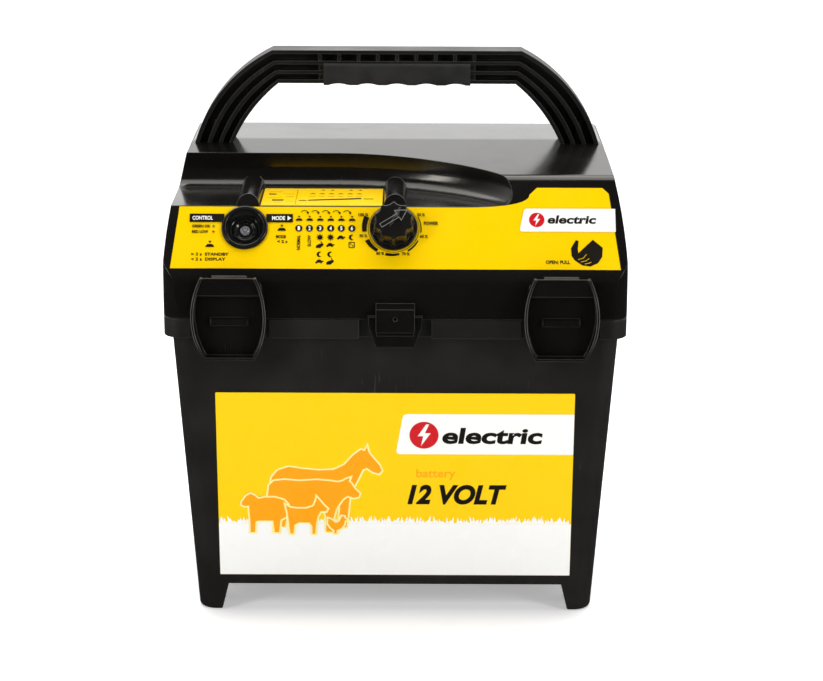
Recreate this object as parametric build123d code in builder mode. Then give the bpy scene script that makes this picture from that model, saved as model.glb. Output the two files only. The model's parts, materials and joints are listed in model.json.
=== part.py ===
"""Portable battery fence energizer.

A drafted battery box on four corner feet carries a hinged lid.  The lid holds the carrying
handle, the sloping control panel and, above a screwed-on cover, the sealed electronics.
Two pull latches on the lid's front grip the box's flange.

The origin is on the ground under the middle of the box.  X runs to the right as seen from
the front, the front faces -Y, and Z is up.  All sizes are in millimetres.
"""

import os
from math import cos, radians, sin, tan

from build123d import *

os.makedirs("parts", exist_ok=True)

# ---------------------------------------------------------------- driving dimensions
width = 300.0                # over the flange and the lid's skirt
depth = 190.0
rim_z = 210.0                # top of the box, above the ground
lid_rise = 92.0              # rim to the top of the lid
handle_rise = 62.5           # top of the lid to the top of the handle

draft = 3.6                  # degrees, on each side of the box
wall = 3.0                   # box wall and floor
corner_r = 12.0
floor_z = 19.5               # underside of the floor, which is the feet's height
foot_inner_x = 117.0         # inner side of a foot at the ground
foot_inner_y = 50.0
foot_slant = 5.0             # the feet widen by this much towards the floor
flange_reach = 4.0           # flange beyond the wall
flange_height = 12.8

lid_gap = 0.3                # lid above the closed box
lid_wall = 2.8
skirt_height = 28.0          # upright band of the lid below the panel
skirt_lean = 1.0             # how far the band leans back over its height
panel_lean = 36.4            # degrees the control panel leans back from upright
panel_height = 57.0          # upright height of the panel
crease_y = 31.0              # where the rising front of the top meets its level rear
rear_lean = 3.0
lid_top_narrowing = 10.0     # each side, from the skirt's top to the lid's top

scoop_back_y = -3.0          # rear wall of the scoop above the display shelf
scoop_end_x = 84.0           # where the scoop runs out through the panel
shelf_drop = 17.4            # panel's top edge down to the display shelf
cove_r = 12.0                # hollow curve between the shelf and the scoop's wall

latch_x = 106.5              # centre of each latch
latch_top_half = 18.0        # half widths of a latch at its top, belly and foot
latch_belly_half = 24.0
latch_foot_half = 16.0
latch_rise = 29.5            # above the rim
latch_drop = 25.0            # below the rim
latch_reach = 13.0           # how far a latch stands out of the flange
latch_rib = 1.8              # side ribs' thickness

tab_half_top = 17.5          # centre tab of the lid
tab_half_foot = 12.4
tab_drop = 17.8

control_up = 33.5            # knob and button, up the panel from its lower edge
knob_x = -1.3
button_x = -97.3
knob_r = 15.5
knob_height = 14.0
bezel_r = 15.0
button_travel = 1.5

battery_x = 190.0
battery_y = 127.0
battery_z = 160.0

handle_depth = 18.0
handle_front_y = 20.0
handle_web = 3.5
grip_half = 49.5
finger_count = 5

running = 0.06               # radial clearance of a turning fit
play = 0.3                   # clearance between moving parts that don't touch

label_t = 0.4

# ---------------------------------------------------------------- derived places
front_y = -depth / 2
rear_y = depth / 2
slope = tan(radians(draft))
inner_floor_z = floor_z + wall
lid_z = rim_z + lid_gap
panel_z = rim_z + skirt_height
panel_y = front_y + skirt_lean
panel_top_z = panel_z + panel_height
panel_top_y = panel_y + panel_height * tan(radians(panel_lean))
lid_top_z = rim_z + lid_rise
shelf_z = panel_top_z - shelf_drop
lean_cos = cos(radians(panel_lean))
lean_sin = sin(radians(panel_lean))
shelf_up = (shelf_z - panel_z) / lean_cos      # shelf's edge, measured up the panel
handle_back_y = handle_front_y + handle_depth
handle_mid_y = handle_front_y + handle_depth / 2
handle_top_z = lid_top_z + handle_rise


def finish(shape, name):
    """Label a finished piece and write its file."""
    shape.part.label = name
    export_step(shape.part, f"parts/{name}.step")


def panel_plane(x, up, out=0.0):
    """Plane on the control panel: local X to the right, local Y up the slope, Z outward."""
    y = panel_y + up * lean_sin - out * lean_cos
    z = panel_z + up * lean_cos + out * lean_sin
    return Plane(origin=(x, y, z), x_dir=(1, 0, 0), z_dir=(0, -lean_cos, lean_sin))


def rear_plane(x, z, y):
    """Plane facing backwards, local X to the left as seen from the front."""
    return Plane(origin=(x, y, z), x_dir=(-1, 0, 0), z_dir=(0, 1, 0))


def side_plane(x):
    """Plane across the object at x: local X runs to the rear and local Y up."""
    return Plane(origin=(x, 0, 0), x_dir=(0, 1, 0), z_dir=(1, 0, 0))


def front_plane(y):
    """Upright plane at y facing the front: local X to the right and local Y up."""
    return Plane(origin=(0, y, 0), x_dir=(1, 0, 0), z_dir=(0, -1, 0))


# ---------------------------------------------------------------- battery box
def wall_half(z):
    """Half sizes of the drafted box at a height, outside."""
    inward = flange_reach + (rim_z - z) * slope
    return width / 2 - inward, depth / 2 - inward


def drafted_block(low, high, inset):
    """Block between two heights that follows the box's walls, moved in by inset."""
    with BuildPart() as block:
        for z in (low, high):
            half_x, half_y = wall_half(z)
            with BuildSketch(Plane.XY.offset(z)):
                RectangleRounded(2 * (half_x - inset), 2 * (half_y - inset), corner_r - inset)
        loft()
    return block.part


box_outside = drafted_block(0, rim_z, 0)
box_inside = drafted_block(inner_floor_z, rim_z + 1, wall)

hinge_y = rear_y + 6.0
hinge_z = rim_z
hinge_r = 5.0
hinge_pin_r = 2.0
hinge_centres = (-95.0, 95.0)
lid_knuckle = 20.0
box_knuckle = 10.0
knuckle_gap = 0.5
hinge_half = lid_knuckle / 2 + knuckle_gap + box_knuckle
battery_frame_t = 3.0
battery_frame_h = 10.0
battery_clearance = 1.0
latch_zone_half = latch_belly_half + 1.5
flange_relief = 2.0
tab_zone_half = 23.5

with BuildPart() as battery_box:
    add(box_outside)
    # Gaps between the feet, front to back and side to side.
    for plane, half, reach in (
        (front_plane(0), foot_inner_x, depth),
        (side_plane(0), foot_inner_y, width),
    ):
        with BuildSketch(plane):
            with BuildLine():
                Polyline(
                    (-half, -1), (half, -1), (half - foot_slant, floor_z),
                    (foot_slant - half, floor_z), close=True,
                )
            make_face()
        extrude(amount=reach, both=True, mode=Mode.SUBTRACT)
    ground_edges = battery_box.edges().group_by(Axis.Z)[0]
    fillet(ground_edges, 2.5)
    foot_x = (foot_inner_x + wall_half(0)[0]) / 2
    foot_y = (foot_inner_y + wall_half(0)[1]) / 2
    with BuildSketch(Plane.XY):
        with GridLocations(2 * foot_x, 2 * foot_y, 2, 2):
            RectangleRounded(9, 19, 2)
    extrude(amount=floor_z - 4, mode=Mode.SUBTRACT)
    # Flange round the rim.
    with BuildSketch(Plane.XY.offset(rim_z - flange_height)):
        RectangleRounded(width, depth, corner_r)
    extrude(amount=flange_height)
    fillet(battery_box.edges().group_by(Axis.Z)[-1].filter_by(Axis.X), 0.8)
    add(box_inside, mode=Mode.SUBTRACT)
    # The flange steps back behind each latch and is left out behind the centre tab.
    for centre in (-latch_x, latch_x):
        with BuildSketch(Plane.XY.offset(rim_z - flange_height - 1)):
            with Locations((centre, front_y)):
                Rectangle(2 * latch_zone_half, 2 * flange_relief)
        extrude(amount=flange_height + 2, mode=Mode.SUBTRACT)
    with BuildSketch(Plane.XY.offset(rim_z - flange_height - 1)):
        with Locations((0, front_y)):
            Rectangle(2 * tab_zone_half, 2 * flange_reach)
    extrude(amount=flange_height + 2, mode=Mode.SUBTRACT)
    # Low frame on the floor that keeps the battery in the middle.
    frame_x = battery_x + 2 * battery_clearance
    frame_y = battery_y + 2 * battery_clearance
    with BuildSketch(Plane.XY.offset(inner_floor_z)):
        Rectangle(frame_x + 2 * battery_frame_t, frame_y + 2 * battery_frame_t)
        Rectangle(frame_x, frame_y, mode=Mode.SUBTRACT)
        Rectangle(frame_x - 60, frame_y + 4 * battery_frame_t, mode=Mode.SUBTRACT)
    extrude(amount=battery_frame_h)
    # Hinge knuckles on the rear flange, on both sides of each lid knuckle.
    for centre in hinge_centres:
        for side in (-1, 1):
            start = centre + side * (lid_knuckle / 2 + knuckle_gap)
            near = min(start, start + side * box_knuckle)
            with BuildSketch(side_plane(near)):
                with Locations((hinge_y, hinge_z)):
                    Circle(hinge_r)
                with Locations(((rear_y + hinge_y) / 2 - 0.5, hinge_z - 5.0)):
                    Rectangle(hinge_y - rear_y + 1, 6.0)
            extrude(amount=box_knuckle)
            with BuildSketch(side_plane(near)):
                with Locations((hinge_y, hinge_z)):
                    Circle(hinge_pin_r)
            extrude(amount=box_knuckle, mode=Mode.SUBTRACT)
finish(battery_box, "battery_box")

with BuildPart() as hinge_pins:
    for centre in hinge_centres:
        with BuildSketch(side_plane(centre - hinge_half)):
            with Locations((hinge_y, hinge_z)):
                Circle(hinge_pin_r)
        extrude(amount=2 * hinge_half)
finish(hinge_pins, "hinge_pins")

label_half_x = 117.5
label_low_z = 26.5
label_high_z = 158.0
label_mid_z = (label_low_z + label_high_z) / 2
front_wall_y = -wall_half(label_mid_z)[1]
front_wall = Plane(
    origin=(0, front_wall_y, label_mid_z),
    x_dir=(1, 0, 0),
    z_dir=(0, -cos(radians(draft)), -sin(radians(draft))),
)
with BuildPart() as front_label:
    with BuildSketch(front_wall):
        RectangleRounded(2 * label_half_x, (label_high_z - label_low_z) / cos(radians(draft)), 0.8)
    extrude(amount=label_t)
finish(front_label, "front_label")

# ---------------------------------------------------------------- battery
battery_cover_h = 16.0
battery_case_h = battery_z - battery_cover_h
battery_top_z = inner_floor_z + battery_z
post_x = battery_x / 2 - 22
post_y = -battery_y / 2 + 24

with BuildPart() as battery_case:
    with BuildSketch(Plane.XY.offset(inner_floor_z)):
        RectangleRounded(battery_x, battery_y, 4)
    extrude(amount=battery_case_h)
    with BuildSketch(Plane.XY.offset(inner_floor_z + 2.5)):
        RectangleRounded(battery_x - 5, battery_y - 5, 2)
    extrude(amount=battery_case_h, mode=Mode.SUBTRACT)
finish(battery_case, "battery_case")

with BuildPart() as battery_cover:
    with BuildSketch(Plane.XY.offset(inner_floor_z + battery_case_h)):
        RectangleRounded(battery_x, battery_y, 4)
    extrude(amount=battery_cover_h)
    fillet(battery_cover.faces().sort_by(Axis.Z)[-1].edges(), 1.5)
    # Sunk corners for the two posts, and round seats for the vent caps.
    for side in (-1, 1):
        with BuildSketch(Plane.XY.offset(battery_top_z)):
            with Locations((side * post_x, post_y)):
                RectangleRounded(36, 36, 4)
        extrude(amount=-9, mode=Mode.SUBTRACT)
    with BuildSketch(Plane.XY.offset(battery_top_z)):
        with Locations((0, 18)):
            with GridLocations(26, 0, 6, 1):
                Circle(9)
    extrude(amount=-3, mode=Mode.SUBTRACT)
finish(battery_cover, "battery_cover")

with BuildPart() as vent_caps:
    with BuildSketch(Plane.XY.offset(battery_top_z - 3)):
        with Locations((0, 18)):
            with GridLocations(26, 0, 6, 1):
                Circle(8.6)
    extrude(amount=5)
    with BuildSketch(Plane.XY.offset(battery_top_z + 2)):
        with Locations((0, 18)):
            with GridLocations(26, 0, 6, 1):
                Rectangle(11, 2)
    extrude(amount=-1.5, mode=Mode.SUBTRACT)
finish(vent_caps, "vent_caps")

for name, side, post_r in (("battery_post_plus", -1, 8.5), ("battery_post_minus", 1, 7.5)):
    with BuildPart() as post:
        with BuildSketch(Plane.XY.offset(battery_top_z - 9)):
            with Locations((side * post_x, post_y)):
                Circle(post_r + 4)
        extrude(amount=3)
        with BuildSketch(Plane.XY.offset(battery_top_z - 6)):
            with Locations((side * post_x, post_y)):
                Circle(post_r)
        extrude(amount=17, taper=3)
    finish(post, name)

# ---------------------------------------------------------------- lid
def lid_block(inset, base_z):
    """Solid outer form of the lid, moved in by inset on every side but the bottom."""
    with BuildPart() as block:
        with BuildSketch(Plane.XY.offset(base_z)):
            RectangleRounded(width - 2 * inset, depth - 2 * inset, corner_r - inset)
        extrude(amount=lid_top_z - base_z)
        with BuildSketch(side_plane(0)) as side_view:
            with BuildLine():
                Polyline(
                    (front_y, base_z - 10), (front_y, rim_z), (panel_y, panel_z),
                    (panel_top_y, panel_top_z), (crease_y, lid_top_z),
                    (rear_y - rear_lean, lid_top_z), (rear_y, rim_z), (rear_y, base_z - 10),
                    close=True,
                )
            make_face()
            for corner, radius in (
                ((panel_y, panel_z), 10), ((panel_top_y, panel_top_z), 8),
                ((crease_y, lid_top_z), 60), ((rear_y - rear_lean, lid_top_z), 8),
            ):
                fillet(side_view.vertices().sort_by_distance(corner)[0], radius)
            if inset:
                offset(amount=-inset, kind=Kind.INTERSECTION, mode=Mode.REPLACE)
        extrude(amount=width, both=True, mode=Mode.INTERSECT)
        with BuildSketch(front_plane(0)) as front_view:
            half = width / 2 - inset
            top_z = lid_top_z - inset
            top_half = half - lid_top_narrowing
            bulge = ((half + top_half) / 2 + 1.8, (panel_z + top_z) / 2)
            with BuildLine():
                Line((-half, base_z - 10), (half, base_z - 10))
                Line((half, base_z - 10), (half, rim_z))
                Line((half, rim_z), (half - 0.5, panel_z))
                ThreePointArc((half - 0.5, panel_z), bulge, (top_half, top_z))
                Line((top_half, top_z), (-top_half, top_z))
                ThreePointArc(
                    (-top_half, top_z), (-bulge[0], bulge[1]), (0.5 - half, panel_z)
                )
                Line((0.5 - half, panel_z), (-half, rim_z))
                Line((-half, rim_z), (-half, base_z - 10))
            make_face()
            fillet(front_view.vertices().group_by(Axis.Y)[-1], 5 - inset)
        extrude(amount=depth, both=True, mode=Mode.INTERSECT)
    return block.part


def scoop_tool(grow):
    """Space above the display shelf, with its hollow curve; grow makes it larger all round."""
    far_left = -width / 2 - 30
    far_front = front_y - 30
    back_y = scoop_back_y + grow
    start_x = scoop_end_x - 124
    bend = (scoop_end_x - 6 + grow, back_y - 35)
    end = (scoop_end_x + grow, back_y - 75)
    out_x = end[0] + (end[1] - far_front) * (end[0] - bend[0]) / (bend[1] - end[1])
    with BuildPart() as tool:
        with BuildSketch(Plane.XY.offset(shelf_z - grow)):
            with BuildLine():
                Line((far_left, back_y), (start_x, back_y))
                Bezier((start_x, back_y), (start_x + 50 + grow, back_y), bend, end)
                Polyline(end, (out_x, far_front), (far_left, far_front), (far_left, back_y))
            make_face()
        extrude(amount=lid_rise)
        fillet(tool.edges().group_by(Axis.Z)[0], cove_r + grow)
    return tool.part


lid_outside = lid_block(0, lid_z)
lid_inside = lid_block(lid_wall, lid_z - 5)
scoop_space = scoop_tool(0)
scoop_skin = scoop_tool(lid_wall)

ridge_r = 7.5
cover_z = rim_z + 3.5
cover_t = 3.0
gasket_t = 1.5
seat_z = cover_z + cover_t + gasket_t
cover_half_x = width / 2 - lid_wall - 0.7
cover_half_y = depth / 2 - lid_wall - 0.7
seat_width = 5.0
post_spots = [(sx * 132.0, y) for sx in (-1, 1) for y in (-76.0, 0.0, 78.0)]
post_r = 4.5
screw_r = 1.5
handle_boss_r = 4.6
handle_boss_x = 124.0
handle_boss_drop = 9.0       # bosses under the lid's top
bezel_hole_r = 11.4
bush_r = 4.5
terminal_z = rim_z + 45
terminal_spots = {"fence": 48.0, "earth": 88.0}
socket_x = -62.0
seat_y = rear_y + 0.5        # flat seats on the lid's rear wall
seat_r = 12.0
stud_r = 3.0
inner_seat_y = rear_y - rear_lean - lid_wall - 0.5
latch_pivot_y = front_y - 4.0
latch_pivot_z = rim_z + 23.5
latch_pin_r = 1.5
latch_knuckle_r = 3.6
latch_swing = 50.0            # degrees a latch turns outwards to let go
lug_half = 11.0
tab_t = 3.5
tab_y = front_y + 0.6

with BuildPart() as lid_hollow:
    add(lid_inside)
    add(scoop_skin, mode=Mode.SUBTRACT)

with BuildPart() as lid_posts:
    with BuildSketch(Plane.XY.offset(seat_z)):
        with Locations(*post_spots):
            Circle(post_r)
    extrude(amount=lid_rise)
    add(lid_outside, mode=Mode.INTERSECT)
    add(scoop_space, mode=Mode.SUBTRACT)

with BuildPart() as shelf_ridges:
    for x in (button_x + 1.5, knob_x + 0.8):
        with BuildSketch(front_plane(scoop_back_y - 2)):
            with Locations((x, shelf_z - 0.5)):
                Circle(ridge_r)
        extrude(amount=panel_top_y - front_y + 20)
    add(lid_outside, mode=Mode.INTERSECT)
    with BuildSketch(Plane.XY.offset(shelf_z - 2)):
        Rectangle(width, depth)
    extrude(amount=-20, mode=Mode.SUBTRACT)

with BuildPart() as lid_shell:
    add(lid_outside)
    add(scoop_space, mode=Mode.SUBTRACT)
    add(lid_hollow.part, mode=Mode.SUBTRACT)
    add(lid_posts.part)
    add(shelf_ridges.part)
    # Seat for the cover's gasket.
    with BuildSketch(Plane.XY.offset(seat_z)):
        RectangleRounded(width - lid_wall, depth - lid_wall, corner_r - lid_wall)
        RectangleRounded(
            2 * (cover_half_x - seat_width), 2 * (cover_half_y - seat_width), 6,
            mode=Mode.SUBTRACT,
        )
    extrude(amount=2.5)
    with BuildSketch(Plane.XY.offset(seat_z)):
        with Locations(*post_spots):
            Circle(screw_r)
    extrude(amount=9, mode=Mode.SUBTRACT)
    # Holes in the panel for the button's bezel and the selector's bush.
    with BuildSketch(panel_plane(button_x, control_up, 1)):
        Circle(bezel_hole_r)
    extrude(amount=-(lid_wall + 2), mode=Mode.SUBTRACT)
    with BuildSketch(panel_plane(knob_x, control_up, 1)):
        Circle(bush_r)
    extrude(amount=-(lid_wall + 2), mode=Mode.SUBTRACT)
    # Holes for the handle's bosses.
    with BuildSketch(Plane.XY.offset(lid_top_z + 1)):
        with Locations((-handle_boss_x, handle_mid_y), (handle_boss_x, handle_mid_y)):
            Circle(handle_boss_r)
    extrude(amount=-(lid_wall + 2), mode=Mode.SUBTRACT)
    # Flat round seats on the rear wall, for the terminals and the adapter socket.
    for x in (*terminal_spots.values(), socket_x):
        with BuildSketch(rear_plane(x, terminal_z, inner_seat_y)):
            Circle(seat_r)
        extrude(amount=seat_y - inner_seat_y)
    for x in terminal_spots.values():
        with BuildSketch(rear_plane(x, terminal_z, inner_seat_y)):
            Circle(stud_r)
        extrude(amount=seat_y - inner_seat_y, mode=Mode.SUBTRACT)
    with BuildSketch(rear_plane(socket_x, terminal_z, inner_seat_y)):
        Circle(7.0)
    extrude(amount=seat_y - inner_seat_y, mode=Mode.SUBTRACT)
    # Lid knuckles of the hinge.
    for centre in hinge_centres:
        with BuildSketch(side_plane(centre - lid_knuckle / 2)):
            with Locations((hinge_y, hinge_z)):
                Circle(hinge_r)
            with Locations(((rear_y + hinge_y) / 2 - 0.6, hinge_z + 3.4)):
                Rectangle(hinge_y - rear_y + 1.2, 3.2)
        extrude(amount=lid_knuckle)
        with BuildSketch(side_plane(centre - lid_knuckle / 2)):
            with Locations((hinge_y, hinge_z)):
                Circle(hinge_pin_r + running)
        extrude(amount=lid_knuckle, mode=Mode.SUBTRACT)
    # Lugs that carry the latch pins.
    for centre in (-latch_x, latch_x):
        with BuildSketch(side_plane(centre - lug_half)):
            with BuildLine():
                Polyline(
                    (front_y + 2, latch_pivot_z - 4), (latch_pivot_y, latch_pivot_z - 3.2),
                    (latch_pivot_y, latch_pivot_z + 3.2), (front_y + 2, latch_pivot_z + 5),
                    close=True,
                )
            make_face()
            with Locations((latch_pivot_y, latch_pivot_z)):
                Circle(3.2)
        extrude(amount=2 * lug_half)
        with BuildSketch(side_plane(centre - lug_half)):
            with Locations((latch_pivot_y, latch_pivot_z)):
                Circle(latch_pin_r)
        extrude(amount=2 * lug_half, mode=Mode.SUBTRACT)
    # Centre tab: a shield that hangs in front of the box, with a slotted box on it.
    with BuildSketch(front_plane(tab_y)):
        with BuildLine():
            Polyline(
                (-tab_half_top, rim_z + 2.5), (tab_half_top, rim_z + 2.5),
                (tab_half_top - 0.6, rim_z - 4), (tab_half_foot, rim_z - tab_drop),
                (-tab_half_foot, rim_z - tab_drop), (0.6 - tab_half_top, rim_z - 4),
                close=True,
            )
        make_face()
    extrude(amount=tab_t)
    with BuildSketch(side_plane(-tab_half_foot)):
        with BuildLine():
            Polyline(
                (front_y + 1, rim_z + 11), (front_y - 6.5, rim_z + 8.5),
                (front_y - 6.5, rim_z - 7), (front_y - 1, rim_z - 7), (front_y + 1, rim_z + 1),
                close=True,
            )
        make_face()
    extrude(amount=2 * tab_half_foot)
    with BuildSketch(front_plane(front_y - 2.5)):
        with Locations((0, rim_z - 8.6)):
            Rectangle(2 * tab_half_foot - 1, 3.2)
    extrude(amount=6, mode=Mode.SUBTRACT)
    with BuildSketch(front_plane(front_y - 5.7)):
        with Locations((0, rim_z + 2)):
            Circle(1.4)
    extrude(amount=2, mode=Mode.SUBTRACT)
finish(lid_shell, "lid_shell")

# ---------------------------------------------------------------- carrying handle
arch_outer = ((84.0, 0.0), (118.9, 28.0), (137.3, 63.8), (139.3, 69.0))
arch_inner = ((80.0, 22.3), (101.1, 45.0), (111.0, 62.8), (111.5, 69.0))
flange_share = 0.11          # thickness of each rib, as a share of the handle's width
rib_shares = (0.0, 0.32, 0.61, 1.0 - flange_share)
rung_count = 9
rung_pitch = 13.0
rung_t = 2.2
stop_t = 3.0


def arch_region(share):
    """Region under the handle's curve; share 0 is its outer edge and 1 its inner edge."""
    shoulder, elbow, foot, root = (
        (a[0] + (b[0] - a[0]) * share, handle_top_z - a[1] - (b[1] - a[1]) * share)
        for a, b in zip(arch_outer, arch_inner)
    )
    with BuildSketch() as region:
        with BuildLine():
            Line((-shoulder[0], shoulder[1]), shoulder)
            for side in (-1, 1):
                ThreePointArc(*((side * x, z) for x, z in (shoulder, elbow, foot)))
                Line((side * foot[0], foot[1]), (side * root[0], root[1]))
            Line(root, (-root[0], root[1]))
        make_face()
    return region.sketch


arch_regions = {share: arch_region(share) for share in (0, 1)}
rib_regions = [(arch_region(share), arch_region(share + flange_share)) for share in rib_shares]
channel_regions = (arch_region(rib_shares[0]), arch_region(rib_shares[1]))
grip_channels = (arch_region(rib_shares[1]), arch_region(1))

with BuildPart() as under_lid:
    add(lid_outside)
    with BuildSketch(Plane.XY.offset(lid_top_z + 1)):
        with Locations((-handle_boss_x, handle_mid_y), (handle_boss_x, handle_mid_y)):
            Circle(handle_boss_r)
    extrude(amount=-lid_rise, mode=Mode.SUBTRACT)

with BuildPart() as handle_frame:
    with BuildSketch(front_plane(handle_mid_y + handle_web / 2)):
        add(arch_regions[0])
        add(arch_regions[1], mode=Mode.SUBTRACT)
    extrude(amount=handle_web)
    with BuildSketch(front_plane(handle_back_y)):
        for upper, lower in rib_regions:
            with BuildSketch(mode=Mode.PRIVATE) as rib:
                add(upper)
                add(lower, mode=Mode.SUBTRACT)
            add(rib.sketch)
    extrude(amount=handle_depth)
    # Rungs across the top channel, and stops at the two ends of the grip.
    for (upper, lower), count, pitch, thickness in (
        (channel_regions, rung_count, rung_pitch, rung_t),
        (grip_channels, 2, 2 * grip_half + stop_t + 0.4, stop_t),
    ):
        with BuildSketch(front_plane(handle_back_y - 0.6)):
            with Locations((0, handle_top_z - 12)):
                with GridLocations(pitch, 0, count, 1):
                    Rectangle(thickness, 30)
            add(upper, mode=Mode.INTERSECT)
            add(lower, mode=Mode.SUBTRACT)
        extrude(amount=handle_depth - 1.2)
    with BuildSketch(Plane.XY.offset(lid_top_z - handle_boss_drop)):
        with Locations((-handle_boss_x, handle_mid_y), (handle_boss_x, handle_mid_y)):
            Circle(handle_boss_r)
    extrude(amount=handle_boss_drop + 14)
    add(under_lid.part, mode=Mode.SUBTRACT)
    with BuildSketch(Plane.XY.offset(lid_top_z - handle_boss_drop)):
        with Locations((-handle_boss_x, handle_mid_y), (handle_boss_x, handle_mid_y)):
            Circle(2.0)
    extrude(amount=18, mode=Mode.SUBTRACT)
finish(handle_frame, "handle_frame")

grip_low_z = handle_top_z - 23.8
grip_high_z = handle_top_z - 8.4
wave_depth = 2.4
wave_pitch = 2 * grip_half / finger_count
with BuildPart() as handle_grip:
    with BuildSketch(side_plane(-grip_half)):
        with Locations((handle_mid_y, (grip_low_z + grip_high_z) / 2)):
            RectangleRounded(handle_depth + 2.4, grip_high_z - grip_low_z, 2.6)
    extrude(amount=2 * grip_half)
    # Finger hollows along the underside.
    hollow_r = (wave_pitch**2 / 4 + wave_depth**2) / (2 * wave_depth) * 0.8
    with BuildSketch(front_plane(handle_back_y + 3)):
        with Locations((0, grip_low_z + wave_depth - 0.8 - hollow_r)):
            with GridLocations(wave_pitch, 0, finger_count, 1):
                Circle(hollow_r)
    extrude(amount=handle_depth + 6, mode=Mode.SUBTRACT)
    add(handle_frame.part, mode=Mode.SUBTRACT)
    grip_body = handle_grip.solids().sort_by(SortBy.VOLUME)[-1]
    add(grip_body, mode=Mode.REPLACE)
finish(handle_grip, "handle_grip")

washer_t = 1.2
with BuildPart() as handle_screws:
    boss_foot_z = lid_top_z - handle_boss_drop
    spots = ((-handle_boss_x, handle_mid_y), (handle_boss_x, handle_mid_y))
    for low, height, radius in ((-washer_t - 2.6, 2.6, 3.8), (-washer_t, washer_t, 6.5), (0, 16, 2.0)):
        with BuildSketch(Plane.XY.offset(boss_foot_z + low)):
            with Locations(*spots):
                Circle(radius)
        extrude(amount=height)
    with BuildSketch(Plane.XY.offset(boss_foot_z - washer_t - 2.6)):
        with Locations(*spots):
            RegularPolygon(1.6, 6)
    extrude(amount=1.6, mode=Mode.SUBTRACT)
finish(handle_screws, "handle_screws")

# ---------------------------------------------------------------- latches
latch_back_y = front_y - 0.8
plate_t = 2.6
hood_gap = 3.7               # pin's centre to the inside of the hood in front of it
hood_t = 1.2
hood_foot = 17.8             # hood's lower edge above the rim
hook_half = 9.0
hook_t = 2.2
hook_top_z = rim_z - flange_height - play
hook_tip_y = -wall_half(hook_top_z)[1] - 1.2


def latch_outline(inset):
    """Barrel outline of a latch about its own middle, moved in by inset."""
    top_z = rim_z + latch_rise
    foot_z = rim_z - latch_drop
    belly_z = rim_z + 4
    top_half = latch_top_half - inset
    belly_half = latch_belly_half - inset
    foot_half = latch_foot_half - inset
    with BuildSketch() as outline:
        with BuildLine():
            Line((-top_half, top_z), (top_half, top_z))
            ThreePointArc((top_half, top_z), (belly_half, belly_z), (foot_half, foot_z))
            Line((foot_half, foot_z), (-foot_half, foot_z))
            ThreePointArc((-foot_half, foot_z), (-belly_half, belly_z), (-top_half, top_z))
        make_face()
    return outline.sketch


latch_face = latch_outline(0)
latch_pocket = latch_outline(latch_rib)

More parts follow.
